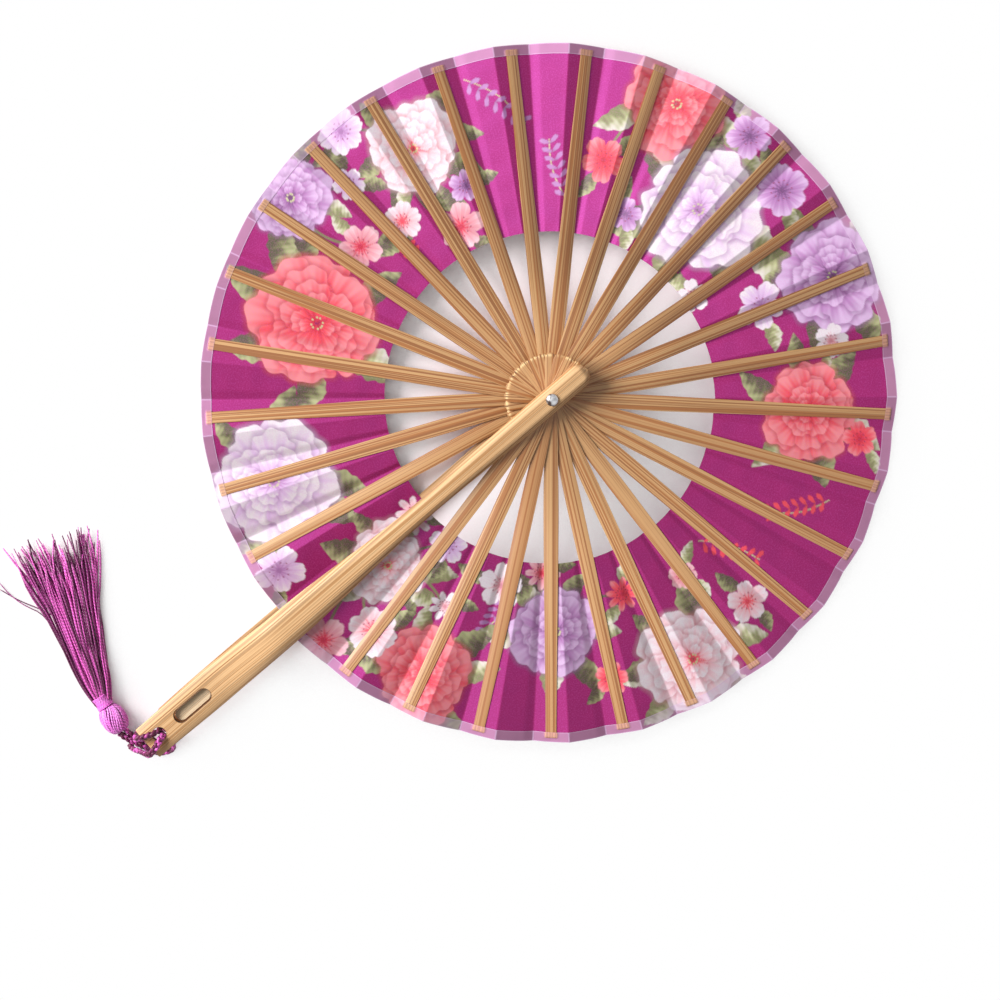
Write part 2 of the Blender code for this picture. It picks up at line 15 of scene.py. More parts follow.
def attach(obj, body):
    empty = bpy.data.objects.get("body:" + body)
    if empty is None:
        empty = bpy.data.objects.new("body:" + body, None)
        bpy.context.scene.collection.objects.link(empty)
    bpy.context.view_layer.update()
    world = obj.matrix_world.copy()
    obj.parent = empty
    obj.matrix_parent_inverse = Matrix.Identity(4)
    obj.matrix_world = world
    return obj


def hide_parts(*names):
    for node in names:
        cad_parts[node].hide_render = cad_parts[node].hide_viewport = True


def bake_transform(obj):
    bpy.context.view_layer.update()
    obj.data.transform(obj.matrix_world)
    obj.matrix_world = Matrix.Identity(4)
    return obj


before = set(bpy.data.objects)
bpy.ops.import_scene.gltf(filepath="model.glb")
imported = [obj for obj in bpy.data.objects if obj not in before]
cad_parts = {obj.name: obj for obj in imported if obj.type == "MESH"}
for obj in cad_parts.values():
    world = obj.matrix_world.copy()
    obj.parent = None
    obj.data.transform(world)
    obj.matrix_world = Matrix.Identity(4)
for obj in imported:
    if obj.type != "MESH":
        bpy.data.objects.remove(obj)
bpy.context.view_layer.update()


# Ribs
# 28 thin strips split from a bamboo cane and planed flat. Each has a round tail past the rivet, and is
# twisted a little where it reaches the cloth, because it is glued flat to the middle of its own pleat.
RIB_COUNT = 28
PITCH = 2 * math.pi / (RIB_COUNT + 1)
HANDLE_ANGLE = math.radians(-90)
TAIL_REACH = 0.0158
RIB_TAIL_WIDTH = 0.0043
RIB_BELLY_WIDTH = 0.0055
RIB_BELLY_AT = 0.038
RIB_TIP_WIDTH = 0.0041
LEAF_OUTER = 0.120
RIB_REACH = LEAF_OUTER - 0.0012
RIB_HUB_THICKNESS = 0.00045
RIB_TIP_THICKNESS = 0.00022
HUB_STEP = 0.0006
RIM_STEP = 0.0004
HUB_FLAT_REACH = 0.020
PLEAT_TILT = math.radians(18)
# The tilt of the ribs beside the guards, at the cloth's inner and outer edge, and what each next rib adds
END_TILTS = (math.radians(9.5), math.radians(16))
TILT_STEPS = (math.radians(0.8), math.radians(0.9))
LEAF_INNER = 0.057
TWIST_START = 0.022
TWIST_END = 0.055
MIDDLE = 0.012175
RIVET_HOLE_RADIUS = 0.0015
RIB_WIDTHS = [(0, RIB_TAIL_WIDTH), (RIB_BELLY_AT, RIB_BELLY_WIDTH), (LEAF_OUTER, RIB_TIP_WIDTH)]
RIB_HALF_WIDTHS = [(r, width / 2) for r, width in RIB_WIDTHS]
RIB_EDGE = 0.00006
RIB_CUTS = 84
RIB_NARROWING = 0.05
CREASE = 40
TAIL_SHARE = 0.14
BLUNT_SHARE = 0.12
TAIL_RIM = 0.0008
TAN = (0.43, 0.172, 0.046)
HONEY = (1.0, 0.71, 0.350)
GRAIN_BROWN = (0.105, 0.034, 0.009)
RED_BROWN = (0.42, 0.16, 0.05)
# Painted shade: each rib's edges and its tail's end are darkened towards this brown, by this share.
RIM_SHADE_BROWN = (0.36, 0.135, 0.038)
RIM_SHADE_SHARE = 0.65
# One rib is much redder than the others, whose tones are drawn about a mean
TONE_MEAN = 0.04
TONE_SPREAD = 0.12
RED_RIB = 26
RED_TONE = 0.55
RIB_TONES = random.Random(11)


def ease(low, high, x):
    """0 below low, 1 above high, and smooth between them."""
    t = np.clip((np.asarray(x, float) - low) / (high - low), 0, 1)
    return t * t * (3 - 2 * t)


def eased(stations, x):
    """A size read from (distance, size) pairs, smooth from one pair to the next."""
    size = np.full(np.shape(x), float(stations[0][1]))
    for (a, before), (b, after) in zip(stations, stations[1:]):
        size = np.where(np.asarray(x) > a, before + (after - before) * ease(a, b, x), size)
    return size


def past_hub(r):
    """Share of the way from the flat hub to the wheel's rim."""
    return np.maximum((np.asarray(r, float) - HUB_FLAT_REACH) / (LEAF_OUTER - HUB_FLAT_REACH), 0)


def rib_thickness(r):
    return RIB_HUB_THICKNESS + (RIB_TIP_THICKNESS - RIB_HUB_THICKNESS) * np.minimum(past_hub(r), 1)


def rib_level(place, r):
    """Height of the middle of the rib numbered place, at distance r from the rivet."""
    step = HUB_STEP + (RIM_STEP - HUB_STEP) * past_hub(r)
    return MIDDLE + (place - (RIB_COUNT + 1) / 2) * step


def pleat_tilt(place, r):
    """The tilt of a rib and its panel, which is less near the guards: there is less room when closed."""
    from_end = min(place, RIB_COUNT + 1 - place) - 1
    inner, outer = [min(t + from_end * more, PLEAT_TILT) for t, more in zip(END_TILTS, TILT_STEPS)]
    return inner + (outer - inner) * np.clip((r - LEAF_INNER) / (LEAF_OUTER - LEAF_INNER), 0, 1)


def rounded_tail(half, width, r):
    """Half width that closes in a half circle at the tail, on the rivet's other side."""
    away = np.maximum(-TAIL_REACH + width - np.asarray(r), 0)
    return np.where(away > 0, np.sqrt(np.maximum(width**2 - away**2, (BLUNT_SHARE * width) ** 2)), half)


def coordinates(mesh):
    found = np.zeros(len(mesh.vertices) * 3)
    mesh.vertices.foreach_get("co", found)
    return found.reshape(-1, 3)


def set_coordinates(mesh, places):
    mesh.vertices.foreach_set("co", np.ascontiguousarray(places, float).ravel())
    mesh.update()


def set_attribute(mesh, name, kind, values):
    """Keeps one value for each point of the mesh, which the materials read by name."""
    layer = mesh.attributes.new(name, kind, "POINT")
    field = {"FLOAT": "value", "FLOAT_VECTOR": "vector", "FLOAT_COLOR": "color"}[kind]
    layer.data.foreach_set(field, np.ascontiguousarray(values, np.float32).ravel())


def mesh_from(bm, name):
    mesh = bpy.data.meshes.new(name)
    bm.to_mesh(mesh)
    bm.free()
    return mesh


def new_piece(name, mesh, look):
    piece = bpy.data.objects.new(name, mesh)
    mesh.materials.append(look)
    bpy.context.scene.collection.objects.link(piece)
    return piece


def smooth_up_to(mesh, degrees):
    """Smooth shading, but for the edges that are sharper than that."""
    mesh.shade_smooth()
    mesh.set_sharp_from_angle(angle=math.radians(degrees))


def round_bar(name, sides, stations):
    """A closed cylinder about Z, of radius 1 and from 0 to 1, cut into stations along its length."""
    bm = bmesh.new()
    bmesh.ops.create_cone(bm, cap_ends=True, segments=sides, radius1=1, radius2=1, depth=1)
    bmesh.ops.translate(bm, verts=bm.verts, vec=(0, 0, 0.5))
    bmesh.ops.rotate(bm, verts=bm.verts, matrix=Matrix.Rotation(math.pi / sides, 3, "Z"))
    upright = [e for e in bm.edges if abs(e.verts[0].co.z - e.verts[1].co.z) > 0.5]
    bmesh.ops.subdivide_edges(bm, edges=upright, cuts=stations - 1, use_grid_fill=True)
    return mesh_from(bm, name)


def cut_through(piece, cutters):
    """Cuts the cutters out of the piece for good, and removes them."""
    for cutter in cutters:
        cut = piece.modifiers.new("cut", "BOOLEAN")
        cut.object = cutter
        cut.material_mode = "TRANSFER"
    bpy.context.view_layer.update()
    shown = piece.evaluated_get(bpy.context.evaluated_depsgraph_get())
    finished = bpy.data.meshes.new_from_object(shown)
    piece.modifiers.clear()
    piece.data = finished
    for cutter in cutters:
        bpy.data.objects.remove(cutter)


def node(tree, kind, inputs=None, **settings):
    """One shader node, with its settings, its input values and its links."""
    made = tree.nodes.new("ShaderNode" + kind)
    for name, value in settings.items():
        setattr(made, name, value)
    for name, value in (inputs or {}).items():
        if isinstance(value, bpy.types.NodeSocket):
            tree.links.new(value, made.inputs[name])
        else:
            made.inputs[name].default_value = value
    return made


def kept_value(tree, name, output="Vector"):
    """What set_attribute kept at each point under that name."""
    return node(tree, "Attribute", attribute_name=name).outputs[output]


def scaled(tree, vector, by):
    return node(tree, "VectorMath", {0: vector, 1: by}, operation="MULTIPLY").outputs[0]


def noise(tree, vector, detail=2.0, roughness=0.5):
    inputs = {"Vector": vector, "Scale": 1.0, "Detail": detail, "Roughness": roughness}
    return node(tree, "TexNoise", inputs).outputs[0]


def between(tree, value, low, high):
    """0 where the value is under low, 1 where it is over high."""
    inputs = {"Value": value, "From Min": low, "From Max": high}
    return node(tree, "MapRange", inputs, interpolation_type="SMOOTHSTEP").outputs[0]


def patches(tree, place, by, detail, low, high):
    """Where a noise, squeezed by these three factors, goes from low to high."""
    return between(tree, noise(tree, scaled(tree, place, by), detail), low, high)


def blended(tree, share, a, b):
    """Colour a with b laid over it by that share."""
    a, b = [x if isinstance(x, bpy.types.NodeSocket) else (*x, 1) for x in (a, b)]
    return node(tree, "Mix", {0: share, 6: a, 7: b}, data_type="RGBA").outputs[2]


def times(tree, a, b):
    return node(tree, "Math", {0: a, 1: b}, operation="MULTIPLY").outputs[0]


def new_look(name, roughness):
    """A material, its node tree and its shader."""
    look = bpy.data.materials.new(name)
    look.use_nodes = True
    shader = look.node_tree.nodes["Principled BSDF"]
    shader.inputs["Roughness"].default_value = roughness
    return look, look.node_tree, shader


def finish_look(tree, shader, colour, height, strength, distance):
    tree.links.new(colour, shader.inputs["Base Color"])
    inputs = {"Strength": strength, "Distance": distance, "Height": height}
    bump = node(tree, "Bump", inputs)
    tree.links.new(bump.outputs[0], shader.inputs["Normal"])


def bamboo_look(name, tree_place, tan, honey, roughness, shine, line_share, red_share, fine):
    """Split bamboo: pale bands, thin dark grain lines and fine fibres, all along the grain.

    Each pattern is squeezed along the grain, across it, and from piece to piece.
    """
    look, tree, shader = new_look(name, roughness)
    place = tree_place(tree)
    bands = patches(tree, place, (7, 1200 * fine, 1), 0.5, 0.38, 0.50)
    lines = patches(tree, place, (4, 1350 * fine, 1.7), 0, 0.57, 0.63)
    fine_lines = patches(tree, place, (7, 3600, 3.1), 1, 0.52, 0.64)
    fibres = noise(tree, scaled(tree, place, (140, 9000, 1)), 3, 0.6)
    fibre_shade = between(tree, fibres, 0.30, 0.72)
    warmth = patches(tree, place, (14, 320, 2.3), 2, 0.50, 0.72)
    colour = blended(tree, bands, tan, honey)
    layers = [
        (lines, line_share, GRAIN_BROWN), (fine_lines, 0.55 * line_share, GRAIN_BROWN),
        (fibre_shade, 0.10, GRAIN_BROWN), (warmth, red_share, RED_BROWN),
    ]
    for pattern, share, brown in layers:
        colour = blended(tree, times(tree, pattern, share), colour, brown)
    shader.inputs["Specular IOR Level"].default_value = shine
    return look, tree, shader, colour, fibres


def along_rib(tree):
    return kept_value(tree, "grain")


rib_look, rib_tree, rib_shader, rib_colour, rib_fibres = bamboo_look(
    "split_bamboo", along_rib, TAN, HONEY, 0.42, 0.7, 0.95, 0.12, 1.25
)
rib_tone = kept_value(rib_tree, "tone", "Fac")
rib_edge = kept_value(rib_tree, "edge", "Fac")
rib_colour = blended(rib_tree, rib_tone, rib_colour, RED_BROWN)
# Painted shade along both edges of the rib and round its tail's end.
rib_rim_shade = between(rib_tree, rib_edge, 0.78, 0.96)
rib_colour = blended(rib_tree, times(rib_tree, rib_rim_shade, RIM_SHADE_SHARE), rib_colour, RIM_SHADE_BROWN)
finish_look(rib_tree, rib_shader, rib_colour, rib_fibres, 0.35, 0.00008)

bm = bmesh.new()
bmesh.ops.create_cube(bm, size=1)
long_edges = [e for e in bm.edges if abs(e.verts[0].co.x - e.verts[1].co.x) > 0.5]
bmesh.ops.subdivide_edges(bm, edges=long_edges, cuts=RIB_CUTS, use_grid_fill=True)
for v in bm.verts:
    share = v.co.x + 0.5
    if share < TAIL_SHARE:
        turn = math.pi / 2 * share / TAIL_SHARE
        v.co.x = -TAIL_REACH + RIB_TAIL_WIDTH / 2 * (1 - math.cos(turn))
    else:
        run = (share - TAIL_SHARE) / (1 - TAIL_SHARE)
        start = -TAIL_REACH + RIB_TAIL_WIDTH / 2
        v.co.x = start + (RIB_REACH - start) * run
    half = rounded_tail(eased(RIB_HALF_WIDTHS, v.co.x), RIB_TAIL_WIDTH / 2, v.co.x)
    v.co.y *= 2 * float(half)
    v.co.z *= float(rib_thickness(v.co.x))
sharp = [e for e in bm.edges if e.calc_face_angle(0) > math.radians(60)]
bmesh.ops.bevel(bm, geom=sharp, offset=RIB_EDGE, segments=2, profile=0.5, affect="EDGES", material=-1)
strip = new_piece("rib_strip", mesh_from(bm, "rib_strip"), rib_look)
hole = new_piece("rib_hole", round_bar("rib_hole", 24, 1), rib_look)
hole.data.transform(Matrix.Diagonal((RIVET_HOLE_RADIUS, RIVET_HOLE_RADIUS, 0.002, 1)))
hole.data.transform(Matrix.Translation((0, 0, -0.001)))
cut_through(strip, [hole])
flat_strip = coordinates(strip.data)

for place in range(1, RIB_COUNT + 1):
    name = f"rib_{place:02d}"
    mesh = strip.data.copy()
    r, across, up = flat_strip.T
    narrowed = across * (1 - RIB_NARROWING * RIB_TONES.random())
    tilt = pleat_tilt(place, r) * ease(TWIST_START, TWIST_END, r)
    side = narrowed * np.cos(tilt) + up * np.sin(tilt)
    rise = up * np.cos(tilt) - narrowed * np.sin(tilt)
    angle = HANDLE_ANGLE - PITCH * place
    x = r * math.cos(angle) + side * math.sin(angle)
    y = r * math.sin(angle) - side * math.cos(angle)
    set_coordinates(mesh, np.stack([x, y, rib_level(place, r) + rise], 1))
    seed = np.full(len(r), place * 3.7)
    set_attribute(mesh, "grain", "FLOAT_VECTOR", np.stack([r, across, seed], 1))
    # The tail's end takes the edges' painted shade.
    tail_end_shade = 1 - ease(TAIL_RIM / 2, TAIL_RIM, r + TAIL_REACH)
    set_attribute(mesh, "edge", "FLOAT", np.maximum(np.abs(across) / eased(RIB_HALF_WIDTHS, r), tail_end_shade))
    tone = max(RIB_TONES.gauss(TONE_MEAN, TONE_SPREAD), 0) if place != RED_RIB else RED_TONE
    set_attribute(mesh, "tone", "FLOAT", np.full(len(r), tone))
    smooth_up_to(mesh, CREASE)
    rib = new_piece(name + "_strip", mesh, rib_look)
    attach(rib, name)
    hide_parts(name)
bpy.data.objects.remove(strip)


# Guards
# Two thick bamboo slats, flat towards the ribs and rounded outside, scraped smooth and waxed. They turn
# on the rivet, bow together past the cloth and lie on each other as the handle. The front one has the
# lock's slot and the cord hole, and the back one is shorter.
GUARD_HUB_THICKNESS = 0.0032
HANDLE_THICKNESS = 0.0020
STACK_HALF = 0.008475
RIM_HALF = 0.007747
LEAN_START = 0.025
BOW_START = 0.1215
BOW_END = 0.153
HANDLE_GAP = 0.0028
HANDLE_REACH = 0.1843
BACK_GUARD_REACH = 0.1743
GUARD_WIDTHS = [(0, 0.0041), (0.058, 0.0032), (0.120, 0.0061), (BOW_END, 0.0068), (HANDLE_REACH, 0.0063)]
CREST_SHARE = 0.42
WALL_SHARE = 0.34
NOSE_LENGTH = 0.0030
NOSE_DROP = 0.45
SIDE_ROUNDING = 0.8
CROWN_ROUNDING = (1.7, 0.7)
WALL_TURN = 0.16
EDGE_SHARE = 0.985
HOLLOW_SHARE = 0.03
GUARD_SIDES = 56
GUARD_STATIONS = 120
GUARD_EDGE = 0.0003
SLOT_AT = 0.1634
SLOT_LENGTH = 0.0157
SLOT_WIDTH = 0.0052
SLOT_FLARE = 0.00015
CORD_HOLE_AT = 0.1787
CORD_HOLE_RADIUS = 0.00245
KEY_CLEARANCE = 0.0003
KEY_POCKET_DEPTH = 0.0012
KEY_SEAT_GAP = 0.0002
CUT_PAST_HUB = 0.001
CUT_PAST_HANDLE = 0.00005
GUARD_TAN = (0.53, 0.275, 0.112)
GUARD_HONEY = (0.76, 0.475, 0.240)
# Painted shade: the walls of the slot, the holes and the key's pocket take this dark brown, as the shade
# inside them.
CUT_WALL_SHADE = (0.13, 0.055, 0.02)


def guard_lean(r):
    return (STACK_HALF - RIM_HALF) * np.clip((r - LEAN_START) / (LEAF_OUTER - LEAN_START), 0, 1)


def guard_inner(r):
    """Distance of a guard's flat side from the middle of the stack."""
    parallel = STACK_HALF - guard_lean(r)
    return parallel + (HANDLE_GAP / 2 - parallel) * ease(BOW_START, BOW_END, r)


def guard_thickness(r):
    level = GUARD_HUB_THICKNESS + guard_lean(r)
    nose = 1 - NOSE_DROP * (1 - ease(0, NOSE_LENGTH, r + TAIL_REACH)) ** 2
    return (level + (HANDLE_THICKNESS - level) * ease(BOW_START, BOW_END, r)) * nose


def guard_section(turn):
    """Share of half width and of thickness at each turn round the section, flat side down."""
    a, b = np.cos(turn), np.sin(turn)
    spread = np.sign(a) * np.abs(a) ** SIDE_ROUNDING
    past_crest = np.clip((np.abs(spread) - CREST_SHARE) / (1 - CREST_SHARE), 0, 1)
    crown = WALL_SHARE + (1 - WALL_SHARE) * (1 - past_crest ** CROWN_ROUNDING[0]) ** CROWN_ROUNDING[1]
    wall = np.clip(np.abs(b) / WALL_TURN, 0, 1)
    share = np.where(np.abs(spread) > EDGE_SHARE, np.sign(a), spread / EDGE_SHARE)
    return share, np.where(b > 0, crown * wall, HOLLOW_SHARE * (1 - wall))


def guard(name, reach, side, cutters, look):
    """A guard along -Y; side is 1 above the ribs and -1 below them."""
    mesh = round_bar(name, GUARD_SIDES, GUARD_STATIONS)
    unit = coordinates(mesh)
    share = unit[:, 2]
    half_tail = GUARD_WIDTHS[0][1]
    in_tail = -TAIL_REACH + half_tail * (1 - np.cos(math.pi / 2 * share / TAIL_SHARE))
    start = -TAIL_REACH + half_tail
    past_tail = start + (reach - start) * (share - TAIL_SHARE) / (1 - TAIL_SHARE)
    r = np.where(share < TAIL_SHARE, in_tail, past_tail)
    half = rounded_tail(eased(GUARD_WIDTHS, r), half_tail, r)
    across, outwards = guard_section(np.arctan2(unit[:, 1], unit[:, 0]))
    height = guard_inner(r) + guard_thickness(r) * outwards
    set_coordinates(mesh, np.stack([half * across, -r, MIDDLE + side * height], 1))
    bm = bmesh.new()
    bm.from_mesh(mesh)
    bmesh.ops.recalc_face_normals(bm, faces=bm.faces)
    end = [e for e in bm.edges if min(-v.co.y for v in e.verts) > reach - 0.0001]
    bmesh.ops.bevel(bm, geom=end, offset=GUARD_EDGE, segments=3, profile=0.5, affect="EDGES", material=-1)
    piece = new_piece(name + "_slat", mesh_from(bm, name), look)
    cut_through(piece, cutters)
    smooth_up_to(piece.data, CREASE)
    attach(piece, name)
    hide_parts(name)


def pill(name, length, width, low, high, y, flare, look, sides=48):
    """A pill-shaped prism, long along Y; its top rim is widened by flare, or narrowed if it is negative."""
    mesh = round_bar(name, sides, 3)
    x, along, up = coordinates(mesh).T
    widen = width / 2 + flare * (up > 0.9)
    levels = [low, low + (high - low) / 2, high - abs(flare)]
    height = np.select([up < 0.1, up < 0.5, up < 0.9], levels, high)
    straight = np.sign(along) * (length - width) / 2
    set_coordinates(mesh, np.stack([x * widen, y + along * widen + straight, height], 1))
    return new_piece(name, mesh, look)


def bored(name, radius, low, high, y, flare, look):
    return pill(name, 2 * radius, 2 * radius, low, high, y, flare, look, 40)


def along_guard(tree):
    """A guard lies along Y, so its grain's directions are Object coordinates in another order."""
    place = node(tree, "TexCoord").outputs["Object"]
    parts = node(tree, "SeparateXYZ", {0: place}).outputs
    return node(tree, "CombineXYZ", {0: parts[1], 1: parts[0]}).outputs[0]


guard_look, guard_tree, guard_shader, guard_colour, guard_fibres = bamboo_look(
    "waxed_bamboo", along_guard, GUARD_TAN, GUARD_HONEY, 0.5, 0.3, 0.42, 0.08, 1.6
)
guard_shader.inputs["Coat Weight"].default_value = 0.06
guard_shader.inputs["Coat Roughness"].default_value = 0.30
finish_look(guard_tree, guard_shader, guard_colour, guard_fibres, 0.25, 0.00008)

# The cut walls are painted dark, as the shade inside the slot and the holes.
cut_wall_shade_look, _, cut_wall_shade_shader = new_look("cut_bamboo_painted_shade", 0.8)
cut_wall_shade_shader.inputs["Base Color"].default_value = (*CUT_WALL_SHADE, 1)

handle_top = MIDDLE + HANDLE_GAP / 2 + HANDLE_THICKNESS
cut_top = handle_top + CUT_PAST_HANDLE
front_cutters = [
    bored("rivet_hole", RIVET_HOLE_RADIUS, MIDDLE, 2 * MIDDLE + CUT_PAST_HUB, 0, 0, cut_wall_shade_look),
    pill("slot", SLOT_LENGTH, SLOT_WIDTH, MIDDLE, cut_top, -SLOT_AT, SLOT_FLARE, cut_wall_shade_look),
    bored("cord_hole", CORD_HOLE_RADIUS, MIDDLE, cut_top, -CORD_HOLE_AT, SLOT_FLARE, cut_wall_shade_look),
]
pocket_floor = MIDDLE - HANDLE_GAP / 2 - KEY_POCKET_DEPTH
pocket_length = SLOT_LENGTH - 2 * KEY_CLEARANCE + 2 * KEY_SEAT_GAP
pocket_width = SLOT_WIDTH - 2 * KEY_CLEARANCE + 2 * KEY_SEAT_GAP
back_cutters = [
    bored("rivet_hole", RIVET_HOLE_RADIUS, -CUT_PAST_HUB, MIDDLE, 0, 0, cut_wall_shade_look),
    pill("pocket", pocket_length, pocket_width, pocket_floor, MIDDLE, -SLOT_AT, 0, cut_wall_shade_look),
]
guard("front_guard", HANDLE_REACH, 1, front_cutters, guard_look)
guard("back_guard", BACK_GUARD_REACH, -1, back_cutters, guard_look)


# Lock key
# A pill-shaped tongue of raw, unwaxed bamboo, glued in a pocket of the back guard. It stands under the
# front guard's slot and snaps into it when the handle's halves are pressed together.
KEY_ROUNDING = 0.00025
# The key's colours are paler than the guards': partly its own paler colour, partly painted light against the
# shade it lies in under the slot.
KEY_LIT_TAN = (0.82, 0.60, 0.38)
KEY_LIT_HONEY = (0.98, 0.78, 0.52)
key_look, key_tree, key_shader, key_colour, key_fibres = bamboo_look(
    "raw_bamboo_painted_light", along_guard, KEY_LIT_TAN, KEY_LIT_HONEY, 0.7, 0.3, 0.4, 0.1, 1.6
)
finish_look(key_tree, key_shader, key_colour, key_fibres, 0.3, 0.00008)
key = pill(
    "lock_key_tongue", SLOT_LENGTH - 2 * KEY_CLEARANCE, SLOT_WIDTH - 2 * KEY_CLEARANCE,
    pocket_floor + KEY_SEAT_GAP, MIDDLE + HANDLE_GAP / 2 - KEY_CLEARANCE, -SLOT_AT, -KEY_ROUNDING, key_look,
)
smooth_up_to(key.data, 30)
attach(key, "back_guard")
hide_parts("lock_key")


# Rivet
# One nickelled steel rivet through all the ribs: a flat foot below, a thin shaft, and a domed head that
# was set with a hammer, so it is bright and slightly uneven.
RIVET_HEAD_RADIUS = 0.00215
RIVET_HEAD_HEIGHT = 0.00125
RIVET_FOOT_RADIUS = 0.0023
RIVET_FOOT_HEIGHT = 0.0004
RIVET_SHAFT_RADIUS = 0.0012
GUARD_TOP_AT_HUB = 0.02385
HEAD_GAP = 0.0001
RIVET_SEAT = GUARD_TOP_AT_HUB + HEAD_GAP
RIVET_LIP = 0.00012
DOME_STEPS = 10
RIVET_SIDES = 48
SAME_POINT = 0.000001
# Painted reflection: the dome's dark and bright patches and its dark streak stand in for the room it
# reflects.
STEEL_REFLECTION_DARK = (0.36, 0.36, 0.38)
STEEL_REFLECTION_BRIGHT = (0.66, 0.66, 0.67)
DARK_REFLECTION = (0.09, 0.06, 0.05)

rivet_look, rivet_tree, rivet_shader = new_look("nickelled_steel", 0.33)
rivet_shader.inputs["Metallic"].default_value = 1
rivet_place = node(rivet_tree, "TexCoord").outputs["Object"]
# One noise gives the dents' bump and the patches of painted reflection, and a larger one lays the dark
# painted reflection streak.
dents_and_reflection = noise(rivet_tree, scaled(rivet_tree, rivet_place, (900, 900, 900)), 2)
dark_reflection = patches(rivet_tree, rivet_place, (420, 420, 200), 1, 0.52, 0.66)
steel = blended(rivet_tree, between(rivet_tree, dents_and_reflection, 0.3, 0.7), STEEL_REFLECTION_DARK, STEEL_REFLECTION_BRIGHT)
steel = blended(rivet_tree, dark_reflection, steel, DARK_REFLECTION)
finish_look(rivet_tree, rivet_shader, steel, dents_and_reflection, 0.35, 0.0001)

outline = [(0, RIVET_SEAT + RIVET_HEAD_HEIGHT)]
for i in range(1, DOME_STEPS + 1):
    a = math.pi / 2 * i / DOME_STEPS
    dome = RIVET_SEAT + RIVET_LIP + (RIVET_HEAD_HEIGHT - RIVET_LIP) * math.cos(a)
    outline.append((RIVET_HEAD_RADIUS * math.sin(a), dome))
outline += [
    (RIVET_HEAD_RADIUS, RIVET_SEAT),
    (RIVET_SHAFT_RADIUS, RIVET_SEAT),
    (RIVET_SHAFT_RADIUS, RIVET_FOOT_HEIGHT),
    (RIVET_FOOT_RADIUS - RIVET_LIP, RIVET_FOOT_HEIGHT),
    (RIVET_FOOT_RADIUS, RIVET_FOOT_HEIGHT - RIVET_LIP),
    (RIVET_FOOT_RADIUS, RIVET_LIP),
    (RIVET_FOOT_RADIUS - RIVET_LIP, 0),
    (0, 0),
]
bm = bmesh.new()
points = [bm.verts.new((r, 0, z)) for r, z in outline]
edges = [bm.edges.new(pair) for pair in zip(points, points[1:])]
bmesh.ops.spin(
    bm, geom=points + edges, axis=(0, 0, 1), cent=(0, 0, 0),
    angle=2 * math.pi, steps=RIVET_SIDES, use_merge=True,
)
bmesh.ops.remove_doubles(bm, verts=bm.verts, dist=SAME_POINT)
bmesh.ops.recalc_face_normals(bm, faces=bm.faces)
rivet = new_piece("rivet_steel", mesh_from(bm, "rivet_steel"), rivet_look)
smooth_up_to(rivet.data, 35)
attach(rivet, "back_guard")
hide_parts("rivet")


# Leaf
# One ring of thin, silky magenta cloth, screen printed with blossoms and leaves. It is glued under every
# rib and pleated: one panel lies tilted on each rib, and a free panel joins it to the next.
LEAF_THICKNESS = 0.0001
LEAF_GAP = 0.00005
FOLD_SHARE = 0.24
GUARD_HUB_GAP = 0.00015
TAPE_THICKNESS = 0.00008
RIB_PANEL_CELLS = 16
FREE_PANEL_CELLS = 36
LEAF_ROWS = 172
WRINKLE = 0.00012
# The free panel climbs to the next rib in two parts: each one's share, and from where to where
CLIMBS = [(0.93, 0, 0.3), (0.07, 0.85, 1)]
# Ripples of a free panel: strength, waves along it, and what each next panel adds
RIPPLES = [(1, 310, 1.9), (0.6, 690, 4.1)]


def pitch_angle(place):
    return HANDLE_ANGLE - PITCH * place


def under_rib(r):
    return rib_thickness(r) / 2 + LEAF_GAP + LEAF_THICKNESS / 2


def over_rib(r):
    """How far the tape lies over the middle of the cloth where it crosses a rib."""
    return under_rib(r) + rib_thickness(r) / 2 + LEAF_GAP + TAPE_THICKNESS / 2


def cloth_at(place, r):
    """Height of the cloth under the rib numbered place, and how far its panel falls to its fold."""
    if place == 0:
        return MIDDLE - guard_inner(r) + GUARD_HUB_GAP + LEAF_THICKNESS / 2, 0 * r
    if place == RIB_COUNT + 1:
        return MIDDLE + guard_inner(r) - GUARD_HUB_GAP - LEAF_THICKNESS - 2 * TAPE_THICKNESS, 0 * r
    return rib_level(place, r) - under_rib(r), FOLD_SHARE * PITCH * r * np.tan(pleat_tilt(place, r))


